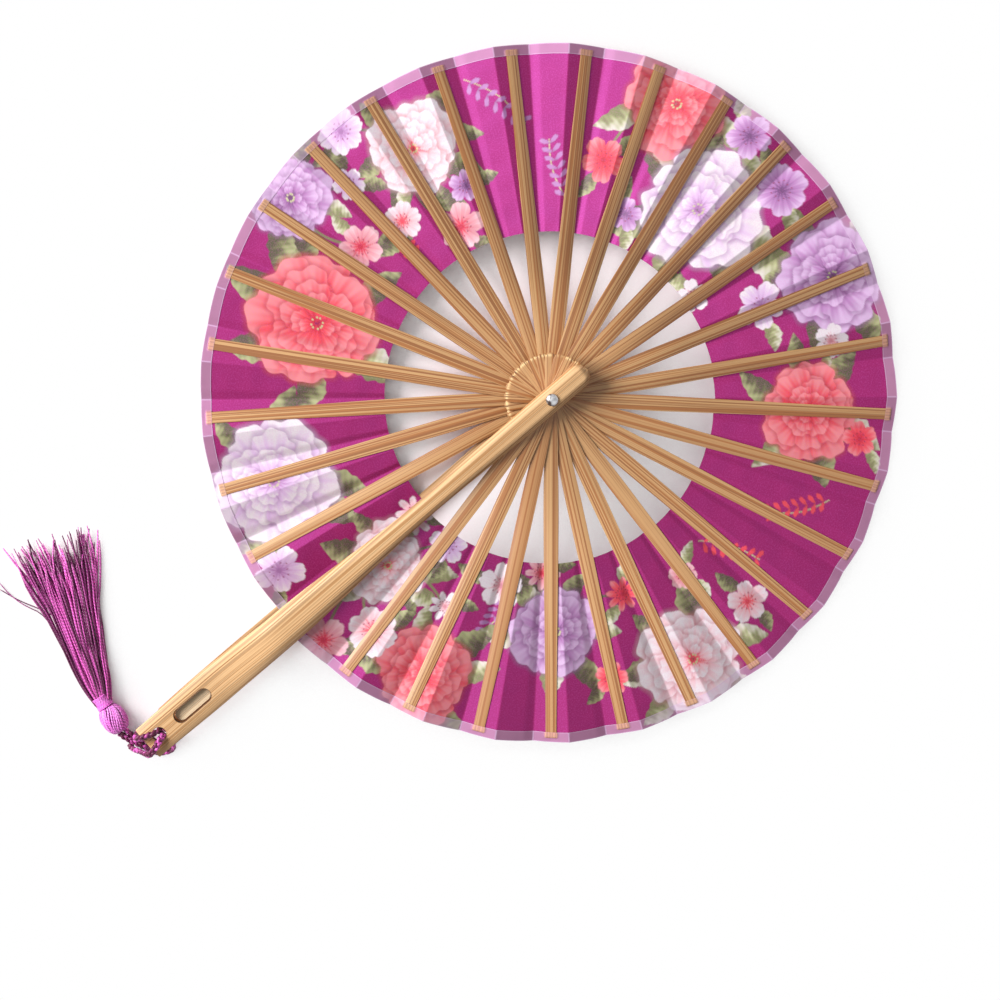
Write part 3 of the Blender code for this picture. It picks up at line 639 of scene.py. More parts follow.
def pleat(name, first, inner, outer, rows, look):
    """The cloth from the middle of one rib to the middle of the next, as a grid moved onto its folds.

    It returns the piece with, for each point, its share of the pitch, its distance from the rivet and
    how far it turns with the second rib.
    """
    columns = 2 * RIB_PANEL_CELLS + FREE_PANEL_CELLS
    bm = bmesh.new()
    bmesh.ops.create_grid(bm, x_segments=columns, y_segments=rows, size=0.5)
    mesh = mesh_from(bm, name)
    unit = coordinates(mesh) + 0.5
    column = np.rint(unit[:, 0] * columns)
    folds = [0, RIB_PANEL_CELLS, RIB_PANEL_CELLS + FREE_PANEL_CELLS, columns]
    share = np.interp(column, folds, [0, FOLD_SHARE, 1 - FOLD_SHARE, 1])
    turned = np.clip((share - FOLD_SHARE) / (1 - 2 * FOLD_SHARE), 0, 1)
    r = inner + (outer - inner) * unit[:, 1]
    (low, low_fold), (high, high_fold) = cloth_at(first, r), cloth_at(first + 1, r)
    from_low = low - low_fold * np.minimum(share / FOLD_SHARE, 1)
    from_high = high + high_fold * np.minimum((1 - share) / FOLD_SHARE, 1)
    step = high - low + high_fold - low_fold if first else 0
    climb = step * (sum(part * ease(start, end, turned) for part, start, end in CLIMBS) - turned)
    height = from_low * (1 - turned) + from_high * turned + climb
    ripple = sum(strength * np.sin(r * waves + first * shift) for strength, waves, shift in RIPPLES)
    height = height + WRINKLE / 2 * ripple * np.sin(math.pi * turned)
    angle = pitch_angle(first + share)
    set_coordinates(mesh, np.stack([r * np.cos(angle), r * np.sin(angle), height], 1))
    set_attribute(mesh, "weave", "FLOAT_VECTOR", np.stack([share * PITCH * r, r, 0 * r], 1))
    mesh.shade_smooth()
    return new_piece(name, mesh, look), share, r, turned


# The cloth's print is drawn petal by petal, in millimetres on the open wheel, and kept as a colour for
# each point of the cloth. Each blossom has a place in pitches from the handle, and a distance. The bare
# numbers of the drawing functions are shares of the petal's or leaf's own size, and its brush strokes.
def tint(red, green, blue):
    """A printed colour from its 0 to 255 values."""
    levels = np.array([red, green, blue]) / 255
    return np.where(levels <= 0.04045, levels / 12.92, ((levels + 0.055) / 1.055) ** 2.4)


MAGENTA = tint(122, 0, 42)
CORAL = tint(230, 70, 78)
CORAL_DEEP = tint(200, 30, 50)
CORAL_PALE = tint(236, 138, 142)
ROSE = tint(216, 144, 152)
PINK_PALE = tint(232, 188, 194)
WHITE = tint(230, 221, 226)
LILAC = tint(176, 124, 180)
LILAC_DEEP = tint(108, 64, 116)
LILAC_PALE = tint(214, 182, 220)
SAGE = tint(122, 128, 78)
SAGE_DARK = tint(72, 74, 42)
SAGE_PALE = tint(192, 198, 142)
STAMEN = tint(130, 26, 54)
SOFT_EDGE = 0.25


class Print:
    """The points that are printed, in millimetres from the rivet.

    It keeps their colours so far, and how much of the plain ground still shows at each.
    """

    def __init__(self, x, y):
        self.x = x * 1000
        self.y = y * 1000
        self.colour = np.tile(MAGENTA, (len(x), 1))
        self.bare = np.ones(len(x))

    def near(self, cx, cy, reach):
        """The points within reach of a centre, and their offsets from it."""
        close = np.flatnonzero((np.abs(self.x - cx) < reach) & (np.abs(self.y - cy) < reach))
        return close, self.x[close] - cx, self.y[close] - cy

    def lay(self, close, cover, colour):
        self.bare[close] *= 1 - cover
        cover = cover[:, None]
        self.colour[close] = self.colour[close] * (1 - cover) + colour * cover


def mixed(a, b, share):
    return a * (1 - share[:, None]) + b * share[:, None]


def petal(cloth, foot, turn, length, width, colours, seed, ruffle=0.06, notch=0.0, soft=SOFT_EDGE, cover=1.0):
    """One petal from its foot; colours are its foot, body and tip, brushed into each other in streaks."""
    close, dx, dy = cloth.near(*foot, length * 1.25 + soft)
    along = (dx * math.cos(turn) + dy * math.sin(turn)) / length
    across = dy * math.cos(turn) - dx * math.sin(turn)
    full = 0.55 + 0.55 * np.clip(along, 0, 1)
    u, v = (along - 0.52) / 0.5, across / (width / 2) / full
    reach, round_it = np.hypot(u, v), np.arctan2(v, u)
    edge = 1 + ruffle * (np.sin(5 * round_it + seed) + 0.7 * np.sin(9 * round_it + 2.3 * seed))
    edge = edge - notch * np.exp(-((round_it / 0.16) ** 2))
    inside = np.clip((edge - reach) * min(length, width) / 2 / soft + 0.5, 0, 1)
    fan_turn = np.arctan2(across / length, along + 0.15)
    streak = np.sin(19 * fan_turn + seed) + 0.6 * np.sin(47 * fan_turn + 2 * seed)
    fade = along + 0.09 * streak
    colour = mixed(colours[0], colours[1], ease(0.05, 0.50, fade))
    colour = mixed(colour, colours[2], ease(0.45, 1.05, fade))
    cloth.lay(close, cover * inside, colour)


def dot(cloth, place, radius, colour):
    close, dx, dy = cloth.near(*place, radius * 2 + SOFT_EDGE)
    cover = np.clip((radius - np.hypot(dx, dy)) / SOFT_EDGE + 0.5, 0, 1)
    cloth.lay(close, cover, colour)


def beside(place, turn, distance):
    return place[0] + distance * math.cos(turn), place[1] + distance * math.sin(turn)


def peony(cloth, place, size, colours, draws):
    """A full bloom: rings of ruffled petals, each with a soft shadow on the ones below it."""
    shadow = [c * 0.55 for c in (colours[0], colours[0], colours[1])]
    for count, share in ((8, 1.0), (7, 0.80), (6, 0.59), (5, 0.40), (3, 0.24)):
        first = draws.uniform(0, 2 * math.pi)
        for i in range(count):
            turn = first + 2 * math.pi * (i + draws.uniform(-0.22, 0.22)) / count
            long = size * share * draws.uniform(0.86, 1.08)
            wide = long * draws.uniform(0.92, 1.16)
            foot = beside(place, turn, size * 0.04)
            seed = draws.uniform(0, 9)
            petal(cloth, foot, turn, long * 1.05, wide * 1.08, shadow, seed, 0.06, 0, 1.8, 0.55)
            petal(cloth, foot, turn, long, wide, colours, seed, 0.07)
    for i in range(9):
        dot(cloth, beside(place, 2.4 * i, size * 0.09), 0.35, SAGE_PALE)


def blossom(cloth, place, size, colours, draws):
    """A small flower of one ring of petals, notched or pointed, with stamens round its middle."""
    count = draws.choice((5, 5, 5, 6, 8))
    slim, notch = (0.9, 0.15) if count < 8 else (0.46, 0.0)
    first = draws.uniform(0, 2 * math.pi)
    for i in range(count):
        turn = first + 2 * math.pi * i / count
        long = size * draws.uniform(0.92, 1.06)
        petal(cloth, place, turn, long, long * slim, colours, draws.uniform(0, 9), 0.03, notch)
    dot(cloth, place, size * 0.11, colours[0] * 0.8)
    for i in range(count * 2):
        turn = first + math.pi * (i + 0.5) / count
        dot(cloth, beside(place, turn, size * (0.32 + 0.08 * (i % 2))), 0.24, STAMEN)


def foliage(cloth, foot, turn, length, width, colours, seed):
    """A pointed, toothed leaf, one half of it lighter, with brushed side veins."""
    close, dx, dy = cloth.near(*foot, length * 1.1)
    along = (dx * math.cos(turn) + dy * math.sin(turn)) / length
    across = dy * math.cos(turn) - dx * math.sin(turn) - 0.07 * length * np.sin(math.pi * along)
    body = np.clip(along, 0, 1)
    teeth = 1 + 0.13 * np.abs(np.sin(11 * body + seed)) + 0.05 * np.sin(31 * body + seed)
    half = width / 2 * np.sin(math.pi * body**0.75) ** 0.85 * teeth
    half = np.where((along > 0) & (along < 1), half, -1)
    cover = np.clip((half - np.abs(across)) / SOFT_EDGE + 0.5, 0, 1)
    aside = across / width
    brushed = np.sin(21 * along - 9 * np.abs(aside) + seed) + 0.6 * np.sin(57 * along + 7 * aside)
    colour = mixed(colours[0], colours[1], ease(-0.35, 0.45, aside + 0.16 * brushed))
    colour = mixed(colour, colours[2], ease(0.2, 0.9, aside + 0.5 * along + 0.10 * brushed) * 0.7)
    cloth.lay(close, cover, colour)


def stem(cloth, start, end, width, colour, bow):
    """A thin stem between two places, bowed to one side by that share of its length."""
    t = np.linspace(0, 1, 40)
    x = start[0] + (end[0] - start[0]) * t - (end[1] - start[1]) * bow * np.sin(math.pi * t)
    y = start[1] + (end[1] - start[1]) * t + (end[0] - start[0]) * bow * np.sin(math.pi * t)
    cx, cy = (start[0] + end[0]) / 2, (start[1] + end[1]) / 2
    close, dx, dy = cloth.near(cx, cy, math.dist(start, end) * (0.6 + abs(bow)) + width)
    away = np.full(len(close), np.inf)
    for px, py in zip(x - cx, y - cy):
        away = np.minimum(away, np.hypot(dx - px, dy - py))
    cloth.lay(close, np.clip((width / 2 - away) / SOFT_EDGE + 0.5, 0, 1), colour)


def sprig(cloth, start, end, colour, draws):
    """A thin stem with a pair of small buds at each of its joints."""
    stem(cloth, start, end, 0.5, SAGE_PALE, 0.08)
    run = math.atan2(end[1] - start[1], end[0] - start[0])
    for i in range(7):
        joint = beside(start, run, math.dist(start, end) * (i + 0.6) / 7)
        for side in (-1, 1):
            petal(cloth, joint, run + side, 3.6, 1.8, (colour * 0.7, colour, colour), draws.uniform(0, 9))


def on_wheel(place, distance):
    """A place on the open wheel, in millimetres: pitches clockwise from the handle, and distance out."""
    a = pitch_angle(place)
    return distance * math.cos(a), distance * math.sin(a)


CORAL_BLOOM = (CORAL_DEEP, CORAL, CORAL_PALE)
LILAC_BLOOM = (LILAC_DEEP, LILAC, LILAC_PALE)
WHITE_BLOOM = (LILAC, LILAC_PALE, WHITE)
BLUSH_BLOOM = (CORAL, PINK_PALE, WHITE)
ROSE_BLOOM = (CORAL_DEEP, ROSE, PINK_PALE)
GREENS = (SAGE_DARK, SAGE, SAGE_PALE)
PALE_GREENS = (SAGE, SAGE_PALE, WHITE)
# Full blooms: place, distance, size, colours
PEONIES = [
    (1.9, 100, 20, WHITE_BLOOM), (4.7, 84, 22, CORAL_BLOOM), (6.3, 112, 14, LILAC_BLOOM),
    (8.2, 97, 15, BLUSH_BLOOM), (12.4, 109, 17, CORAL_BLOOM), (13.6, 82, 20, WHITE_BLOOM),
    (15.9, 106, 18, LILAC_BLOOM), (18.0, 90, 16, CORAL_BLOOM), (22.7, 104, 18, BLUSH_BLOOM),
    (24.9, 81, 15, LILAC_BLOOM), (27.0, 106, 16, CORAL_BLOOM), (28.6, 80, 13, BLUSH_BLOOM),
]
SMALL_BLOOMS = [WHITE_BLOOM, ROSE_BLOOM, (ROSE, WHITE, WHITE), CORAL_BLOOM, LILAC_BLOOM, BLUSH_BLOOM]
BLOSSOM_TRIES = 150
# Sprigs of small buds: the stem's start and end, and the buds' colour
SPRIGS = [
    ((9.3, 112), (10.1, 94), LILAC), ((10.9, 68), (10.5, 88), LILAC), ((19.4, 104), (20.0, 86), CORAL),
    ((21.3, 72), (20.8, 92), CORAL), ((25.9, 66), (26.3, 84), LILAC), ((7.0, 66), (7.1, 82), CORAL),
]
# Parts of the wheel, from place to place, whose ground stays plain
PLAIN = [(2.8, 3.6), (9.2, 11.3), (19.2, 21.4), (25.6, 26.1)]


def scattered(draws):
    """Places and sizes of the small flowers, clear of the full blooms, each other and the plain parts."""
    full = [(on_wheel(place, distance), size) for place, distance, size, _ in PEONIES]
    small = []
    for _ in range(BLOSSOM_TRIES):
        place, distance, size = draws.uniform(0, 29), draws.uniform(60, 116), draws.uniform(5, 9)
        centre = on_wheel(place, distance)
        if any(low < place < high for low, high in PLAIN):
            continue
        if all(math.dist(centre, other) > (size + reach) * 0.92 for other, reach in full + small):
            small.append((centre, size))
    return small


def draw_print(cloth):
    """The whole print, from the stems up to the small flowers."""
    draws = random.Random(29)
    full = [(on_wheel(place, distance), size, colours) for place, distance, size, colours in PEONIES]
    small = scattered(draws)
    for centre, size in small:
        nearest = min(full, key=lambda bloom: math.dist(centre, bloom[0]))[0]
        if math.dist(centre, nearest) < 45:
            stem(cloth, centre, nearest, 1.0, draws.choice((SAGE, SAGE_DARK)), draws.uniform(-0.25, 0.25))
    for start, end, colour in SPRIGS:
        sprig(cloth, on_wheel(*start), on_wheel(*end), colour, draws)
    for centre, size, leaves in [(c, s, 6) for c, s, _ in full] + [(c, s, 2) for c, s in small]:
        first = draws.uniform(0, 2 * math.pi)
        for i in range(leaves):
            turn = first + 2 * math.pi * (i + draws.uniform(-0.25, 0.25)) / leaves
            long = (6 + size * 0.55) * draws.uniform(0.8, 1.2)
            greens = draws.choice((GREENS, GREENS, PALE_GREENS))
            foot = beside(centre, turn, size * 0.72)
            lean = turn + draws.uniform(-0.5, 0.5)
            foliage(cloth, foot, lean, long, long * draws.uniform(0.42, 0.58), greens, 3 * i)
    for centre, size, colours in full:
        peony(cloth, centre, size, colours, draws)
    for i, (centre, size) in enumerate(small):
        blossom(cloth, centre, size, SMALL_BLOOMS[i % len(SMALL_BLOOMS)], draws)


GROUND_SHINE = (0.75, 0.17, 0.75)
PRINT_SHINE = (0.27, 0.24, 0.265)
FLECK = (0.70, 0.12, 0.50)
FAINT_SHADE = (0.03, 0.0, 0.02)
SILK_IOR = 1.9


def cloth_look(name, roughness, thread, mottle):
    """Silky cloth: the print, a fine weave of crossing threads, and a soft sheen."""
    look, tree, shader = new_look(name, roughness)
    place = kept_value(tree, "weave")
    colour = kept_value(tree, "print", "Color")
    threads = []
    for direction in ("X", "Y"):
        inputs = {"Vector": place, "Scale": 1 / thread, "Distortion": 0.6, "Detail": 1.0}
        threads.append(node(tree, "TexWave", inputs, bands_direction=direction).outputs["Fac"])
    woven = times(tree, *threads)
    fleck = patches(tree, place, (2100, 2100, 1), 2, 0.40, 0.70)
    soft = patches(tree, place, (90, 90, 1), 3, 0.40, 0.70)
    colour = blended(tree, times(tree, fleck, mottle), colour, FLECK)
    colour = blended(tree, times(tree, soft, 0.12), colour, FAINT_SHADE)
    shader.inputs["IOR"].default_value = SILK_IOR
    shader.inputs["Specular IOR Level"].default_value = 1.0
    bare = kept_value(tree, "print", "Alpha")
    shine = blended(tree, bare, PRINT_SHINE, GROUND_SHINE)
    tree.links.new(shine, shader.inputs["Specular Tint"])
    finish_look(tree, shader, colour, woven, 0.25, 0.00004)
    return look


leaf_look = cloth_look("printed_silk", 0.62, 0.0009, 0.16)
leaf_pieces = [
    pleat(f"leaf_pleat_{first:02d}", first, LEAF_INNER, LEAF_OUTER, LEAF_ROWS, leaf_look)
    for first in range(RIB_COUNT + 1)
]


# Edge tape
# A sheer, whitish tape glued over the cloth's rim and the ribs' tips. The print and the bamboo show
# through it, and its woven edges are a little denser.
TAPE_WIDTH = 0.0032
TAPE_OVERHANG = 0.0003
TAPE_ROWS = 10
TAPE_WHITE = tint(214, 184, 216)
TAPE_COVER = 0.38
SELVAGE_COVER = 0.42
COVER_LOST_ON_RIB = 0.7
SELVAGE_LOST_ON_RIB = 0.6
TAPE_SELVAGE = 0.00035
RIB_FADE = 0.0004
BAMBOO_UNDER_TAPE = tint(216, 166, 104)
BAMBOO_STRIPE = tint(132, 82, 40)
STRIPE_PITCH = 0.00105
STRIPE_SHARE = 0.7
tape_look = cloth_look("sheer_tape", 0.6, 0.0006, 0.05)
tape_inner = LEAF_OUTER - TAPE_WIDTH
tape_outer = LEAF_OUTER + TAPE_OVERHANG
tape_pieces = [
    pleat(f"edge_tape_{first:02d}", first, tape_inner, tape_outer, TAPE_ROWS, tape_look)
    for first in range(RIB_COUNT + 1)
]

printed = leaf_pieces + tape_pieces
places = [coordinates(piece.data) for piece, *_ in printed]
cloth = Print(*np.concatenate(places)[:, :2].T)
draw_print(cloth)

at = 0
for number, ((piece, share, r, turned), place) in enumerate(zip(printed, places)):
    first = number % (RIB_COUNT + 1)
    colour, bare = cloth.colour[at:at + len(place)], cloth.bare[at:at + len(place)]
    at += len(place)
    if number > RIB_COUNT:
        from_rib = np.minimum(share, 1 - share) * PITCH * r
        has_rib = np.where(share < 0.5, first > 0, first < RIB_COUNT)
        on_rib = (1 - ease(RIB_TIP_WIDTH / 2, RIB_TIP_WIDTH / 2 + RIB_FADE, from_rib)) * has_rib
        on_rib = on_rib * (r < RIB_REACH)
        stripe = 0.5 + 0.5 * np.sin(2 * math.pi * from_rib / STRIPE_PITCH + first)
        bamboo = mixed(BAMBOO_UNDER_TAPE, BAMBOO_STRIPE, STRIPE_SHARE * stripe)
        colour = colour * (1 - on_rib[:, None]) + bamboo * on_rib[:, None]
        from_edge = np.minimum(r - tape_inner, tape_outer - r)
        from_fold = np.abs(np.abs(share - 0.5) - (0.5 - FOLD_SHARE)) * PITCH * r
        denser = np.maximum(1 - ease(0, TAPE_SELVAGE, from_edge), 1 - ease(0, TAPE_SELVAGE, from_fold))
        cover = TAPE_COVER * (1 - COVER_LOST_ON_RIB * on_rib)
        cover = cover + SELVAGE_COVER * denser * (1 - SELVAGE_LOST_ON_RIB * on_rib)
        bare = bare / 2
        colour = colour * (1 - cover[:, None]) + TAPE_WHITE * cover[:, None]
        over_cloth = LEAF_THICKNESS / 2 + TAPE_THICKNESS
        place[:, 2] += over_cloth + (over_rib(r) - over_cloth) * on_rib
        set_coordinates(piece.data, place)
    set_attribute(piece.data, "print", "FLOAT_COLOR", np.concatenate([colour, bare[:, None]], 1))
    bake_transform(piece)
    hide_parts("leaf" if number <= RIB_COUNT else "edge_tape")


# Tassel cord
# One loop of plum cord, plaited from three soft strands. It comes out of the tassel, passes under the
# handle's end and up through the hole, lies over the end and back to the tassel.
# Places past the cord hole, in tenths of a millimetre
CORD_ROUTE = [
    (-84, 129, 44), (-58, 125, 38), (-30, 115, 34), (-2, 107, 26), (28, 99, 12), (62, 79, 11),
    (80, 47, 18), (74, 19, 48), (48, 5, 82), (22, 1, 112), (11, -6, 136), (11, -6, 158), (16, 10, 172),
    (27, 41, 174), (31, 65, 168), (30, 81, 148), (22, 93, 122), (6, 108, 94), (-10, 127, 62),
    (-22, 135, 30), (-28, 121, 11), (-34, 95, 10), (-40, 77, 26), (-43, 71, 62), (-44, 72, 98),
    (-42, 73, 134), (-38, 66, 162), (-31, 47, 174), (-17, 12, 173), (-11, -6, 153), (-11, -7, 128),
    (-4, -7, 101), (14, -15, 74), (38, -11, 44), (52, 13, 20), (50, 43, 11), (30, 67, 12), (2, 83, 22),
    (-28, 93, 34), (-58, 102, 42), (-84, 106, 46),
]
CORD_LENGTH = 0.1264
CORD_STATIONS = 560
STRAND_RADIUS = 0.00058
OWN_START = 2.4
PLAIT_SWAY = 0.00068
PLAIT_DEPTH = 0.00036
PLAIT_LENGTH = 0.0056
CURVE_STEPS = 16
# The darkest plum is painted shade, in the plies' grooves and in the tassel's core; the brightest is painted
# highlight along the cord's strands.
PLUM = (0.125, 0.001, 0.045)
PLUM_SHADE = (0.050, 0.001, 0.020)
PLUM_HIGHLIGHT = (0.88, 0.13, 0.62)
YARN_SHEEN = (1.0, 0.6, 0.95)


def past_hole(across, outwards, up):
    """A place past the cord hole: to the right of it, outwards along the handle, and up."""
    return np.array([across, -(CORD_HOLE_AT + outwards), up])


def route_points(route):
    """The places of a route that is given in tenths of a millimetre past the cord hole."""
    return [past_hole(*(part / 10000 for part in place)) for place in route]


def smooth_line(points, count):
    """count points, evenly spaced, on a smooth curve through the given ones."""
    p = np.array(points, float)
    p = np.concatenate([[2 * p[0] - p[1]], p, [2 * p[-1] - p[-2]]])
    t = np.linspace(0, 1, CURVE_STEPS, endpoint=False)[:, None]
    fine = []
    for a, b, c, d in zip(p, p[1:], p[2:], p[3:]):
        square, cube = 2 * a - 5 * b + 4 * c - d, 3 * b - a - 3 * c + d
        fine.append((2 * b + (c - a) * t + square * t**2 + cube * t**3) / 2)
    fine = np.concatenate(fine + [p[-2:-1]])
    gone = along_line(fine)
    want = np.linspace(0, gone[-1], count)
    return np.stack([np.interp(want, gone, fine[:, k]) for k in range(3)], 1)


def frames_along(line, up=(0, 0, 1)):
    """Two directions square to the line at each of its points, which turn as little as they can."""
    ahead = np.gradient(line, axis=0)
    ahead /= np.linalg.norm(ahead, axis=1)[:, None]
    side = np.cross(up, ahead[0])
    if np.linalg.norm(side) < 0.1:
        side = np.cross((1, 0, 0), ahead[0])
    sides = []
    for a in ahead:
        side = side - a * (side @ a)
        side = side / np.linalg.norm(side)
        sides.append(side)
    sides = np.array(sides)
    return sides, np.cross(ahead, sides)


def along_line(line):
    """The distance of each of the line's points from its start."""
    return np.concatenate([[0], np.cumsum(np.linalg.norm(np.diff(line, axis=0), axis=1))])


def yarns(name, lines, radii, sides, look, taper=0.0):
    """One mesh of closed tubes along lines that all have as many points.

    Each point keeps, for the material, how far along its yarn it is, and the yarn's number; and the
    way round the yarn as a sine and a cosine, which have no seam.
    """
    stations = len(lines[0]) - 1
    bar = round_bar(name, sides, stations)
    unit = coordinates(bar)
    station = np.rint(unit[:, 2] * stations).astype(int)
    bm = bmesh.new()
    for _ in lines:
        bm.from_mesh(bar)
    mesh = mesh_from(bm, name)
    places, grain, turn = [], [], []
    for number, (line, radius) in enumerate(zip(lines, radii)):
        side, over = frames_along(line)
        gone = along_line(line)
        thick = radius * np.where((station == 0) | (station == stations), 1 - taper, 1)[:, None]
        around = side[station] * unit[:, :1] + over[station] * unit[:, 1:2]
        places.append(line[station] + around * thick)
        grain.append(np.stack([gone[station], 0 * gone[station], 0 * gone[station] + number], 1))
        turn.append(np.stack([unit[:, 0], unit[:, 1], 0 * unit[:, 0]], 1))
    set_coordinates(mesh, np.concatenate(places))
    set_attribute(mesh, "grain", "FLOAT_VECTOR", np.concatenate(grain))
    set_attribute(mesh, "turn", "FLOAT_VECTOR", np.concatenate(turn))
    mesh.shade_smooth()
    return new_piece(name, mesh, look)


def yarn_look(name, groove_shade, body, bright_tone_and_highlight, twist, roughness, spread, change, turning=0.5):
    """Twisted rayon: plies that wind round each yarn with painted shade in the grooves between them, and
    patches along the yarns of a brighter colour: unlike yarn tones on the tassel, painted highlights on the
    cord.
    """
    look, tree, shader = new_look(name, roughness)
    grain = kept_value(tree, "grain")
    parts = node(tree, "SeparateXYZ", {0: grain}).outputs
    turn = kept_value(tree, "turn")
    around = node(tree, "SeparateXYZ", {0: turn}).outputs
    own_start = times(tree, parts[2], OWN_START)
    phase = node(tree, "Math", {0: times(tree, parts[0], 2 * math.pi / twist), 1: own_start}).outputs[0]
    waves = []
    for kind, way in (("SINE", 0), ("COSINE", 1)):
        wave = node(tree, "Math", {0: phase}, operation=kind).outputs[0]
        waves.append(times(tree, wave, around[way]))
    ply = node(tree, "Math", {0: waves[0], 1: waves[1]}, operation="ADD").outputs[0]
    ply_height = between(tree, ply, -1, 1)
    tone_and_highlight = patches(tree, grain, (change, 1, 5.3), 1, turning - spread, turning + spread)
    colour = blended(tree, tone_and_highlight, body, bright_tone_and_highlight)
    # Painted shade in the grooves between the plies.
    colour = blended(tree, times(tree, between(tree, ply, 0.35, -0.75), 0.45), colour, groove_shade)
    shader.inputs["Sheen Weight"].default_value = 0.08
    shader.inputs["Sheen Roughness"].default_value = 0.35
    shader.inputs["Sheen Tint"].default_value = (*YARN_SHEEN, 1)
    finish_look(tree, shader, colour, ply_height, 0.6, 0.0001)
    return look


# On the cord, the bright patches along the strands are painted highlights of the plait's bumps.
cord_look = yarn_look("plum_cord", PLUM_SHADE, PLUM, PLUM_HIGHLIGHT, 0.0010, 0.38, 0.09, 180, 0.57)
route = smooth_line(route_points(CORD_ROUTE), CORD_STATIONS + 1)
cord_side, cord_over = frames_along(route)
gone = np.linspace(0, CORD_LENGTH, CORD_STATIONS + 1)
strands = []
for i in range(3):
    turn = 2 * math.pi * (gone / PLAIT_LENGTH + i / 3)
    sway = PLAIT_SWAY * np.sin(turn)[:, None]
    depth = PLAIT_DEPTH * np.sin(2 * turn)[:, None]
    strand = route + cord_side * sway + cord_over * depth
    strand[:, 2] = np.maximum(strand[:, 2], STRAND_RADIUS)
    strands.append(strand)
cord = yarns("tassel_cord_plait", strands, [STRAND_RADIUS] * 3, 8, cord_look, 0.3)
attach(cord, "front_guard")
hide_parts("tassel_cord")


# Tassel head
# A barrel of yarn folded over the cord's knot: a core, and the loops of yarn that slant over it from
# the cord to the neck.
TABLE_GAP = 0.0001
HEAD_LENGTH = 0.0095
HEAD_RADIUS = 0.0047
HEAD_START = past_hole(-0.0088, 0.0117, HEAD_RADIUS + TABLE_GAP)
HEAD_TURN = math.radians(170.5)
HEAD_AXIS = np.array([math.cos(HEAD_TURN), math.sin(HEAD_TURN), 0])
HEAD_SIDE = np.cross((0, 0, 1), HEAD_AXIS)
HEAD_OUTLINE = [
    (0.05, 0.10), (0.00, 0.30), (0.00, 0.52), (0.06, 0.70), (0.18, 0.86), (0.34, 0.97),
    (0.52, 1.00), (0.70, 0.96), (0.86, 0.84), (1.00, 0.66),
]
HEAD_YARNS = 46
HEAD_YARN_RADIUS = 0.00034
HEAD_STATIONS = 26
CORE_SIDES = 24
CORE_DEPTH = 2.0 * HEAD_YARN_RADIUS
CORE_LEAST = 0.0001
# The darkest yarn colour is painted shade, in the plies' grooves and in the head's core.
YARN_SHADE = (0.075, 0.002, 0.045)
YARN_BODY = (0.96, 0.11, 0.72)
YARN_BRIGHT = (1.0, 0.34, 0.92)
TASSEL_DRAWS = random.Random(5)


def ring_round(turn):
    """Directions square to the head's axis, one for each turn round it."""
    return HEAD_SIDE * np.cos(turn)[:, None] + np.array([0, 0, 1]) * np.sin(turn)[:, None]


head_look = yarn_look("folded_yarn", YARN_SHADE, YARN_BODY, YARN_BRIGHT, 0.0011, 0.42, 0.2, 90, 0.42)
head_line = smooth_line([(along, width, 0) for along, width in HEAD_OUTLINE], HEAD_STATIONS + 1)
head_lines = []
for i in range(HEAD_YARNS):
    slant_turn = math.radians(TASSEL_DRAWS.uniform(24, 52))
    depth = HEAD_YARN_RADIUS * (1 + 0.7 * TASSEL_DRAWS.random())
    bend = TASSEL_DRAWS.uniform(-0.12, 0.12)
    out = head_line[:, 1] * HEAD_RADIUS - depth
    around = 2 * math.pi * i / HEAD_YARNS + slant_turn * head_line[:, 0]
    ring = ring_round(around + bend * np.sin(math.pi * head_line[:, 0]))
    head_lines.append(HEAD_START + HEAD_AXIS * (head_line[:, :1] * HEAD_LENGTH) + ring * out[:, None])
head = yarns("tassel_head_yarns", head_lines, [HEAD_YARN_RADIUS] * HEAD_YARNS, 6, head_look)
core = round_bar("head_core", CORE_SIDES, HEAD_STATIONS)
core_unit = coordinates(core)
core_out = head_line[np.rint(core_unit[:, 2] * HEAD_STATIONS).astype(int)]
core_reach = np.maximum(core_out[:, 1] * HEAD_RADIUS - CORE_DEPTH, CORE_LEAST)[:, None]
core_ring = HEAD_SIDE * core_unit[:, :1] + np.array([0, 0, 1]) * core_unit[:, 1:2]
set_coordinates(core, HEAD_START + HEAD_AXIS * (core_out[:, :1] * HEAD_LENGTH) + core_ring * core_reach)
core.shade_smooth()
# Painted shade: the core is coloured near black, as the shade between the slanting yarns over it.
core_shade_look, core_tree, core_shader = new_look("yarn_core_painted_shade", 0.8)
core_place = node(core_tree, "TexCoord").outputs["Object"]
core_noise = noise(core_tree, scaled(core_tree, core_place, (1500, 1500, 1500)))
core_shade_colour = blended(core_tree, between(core_tree, core_noise, 0.3, 0.7), PLUM_SHADE, YARN_SHADE)
finish_look(core_tree, core_shader, core_shade_colour, core_noise, 0.4, 0.0001)
head_core = new_piece("tassel_head_core", core, core_shade_look)
for piece in (head, head_core):
    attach(piece, "front_guard")
    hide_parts("tassel_head")


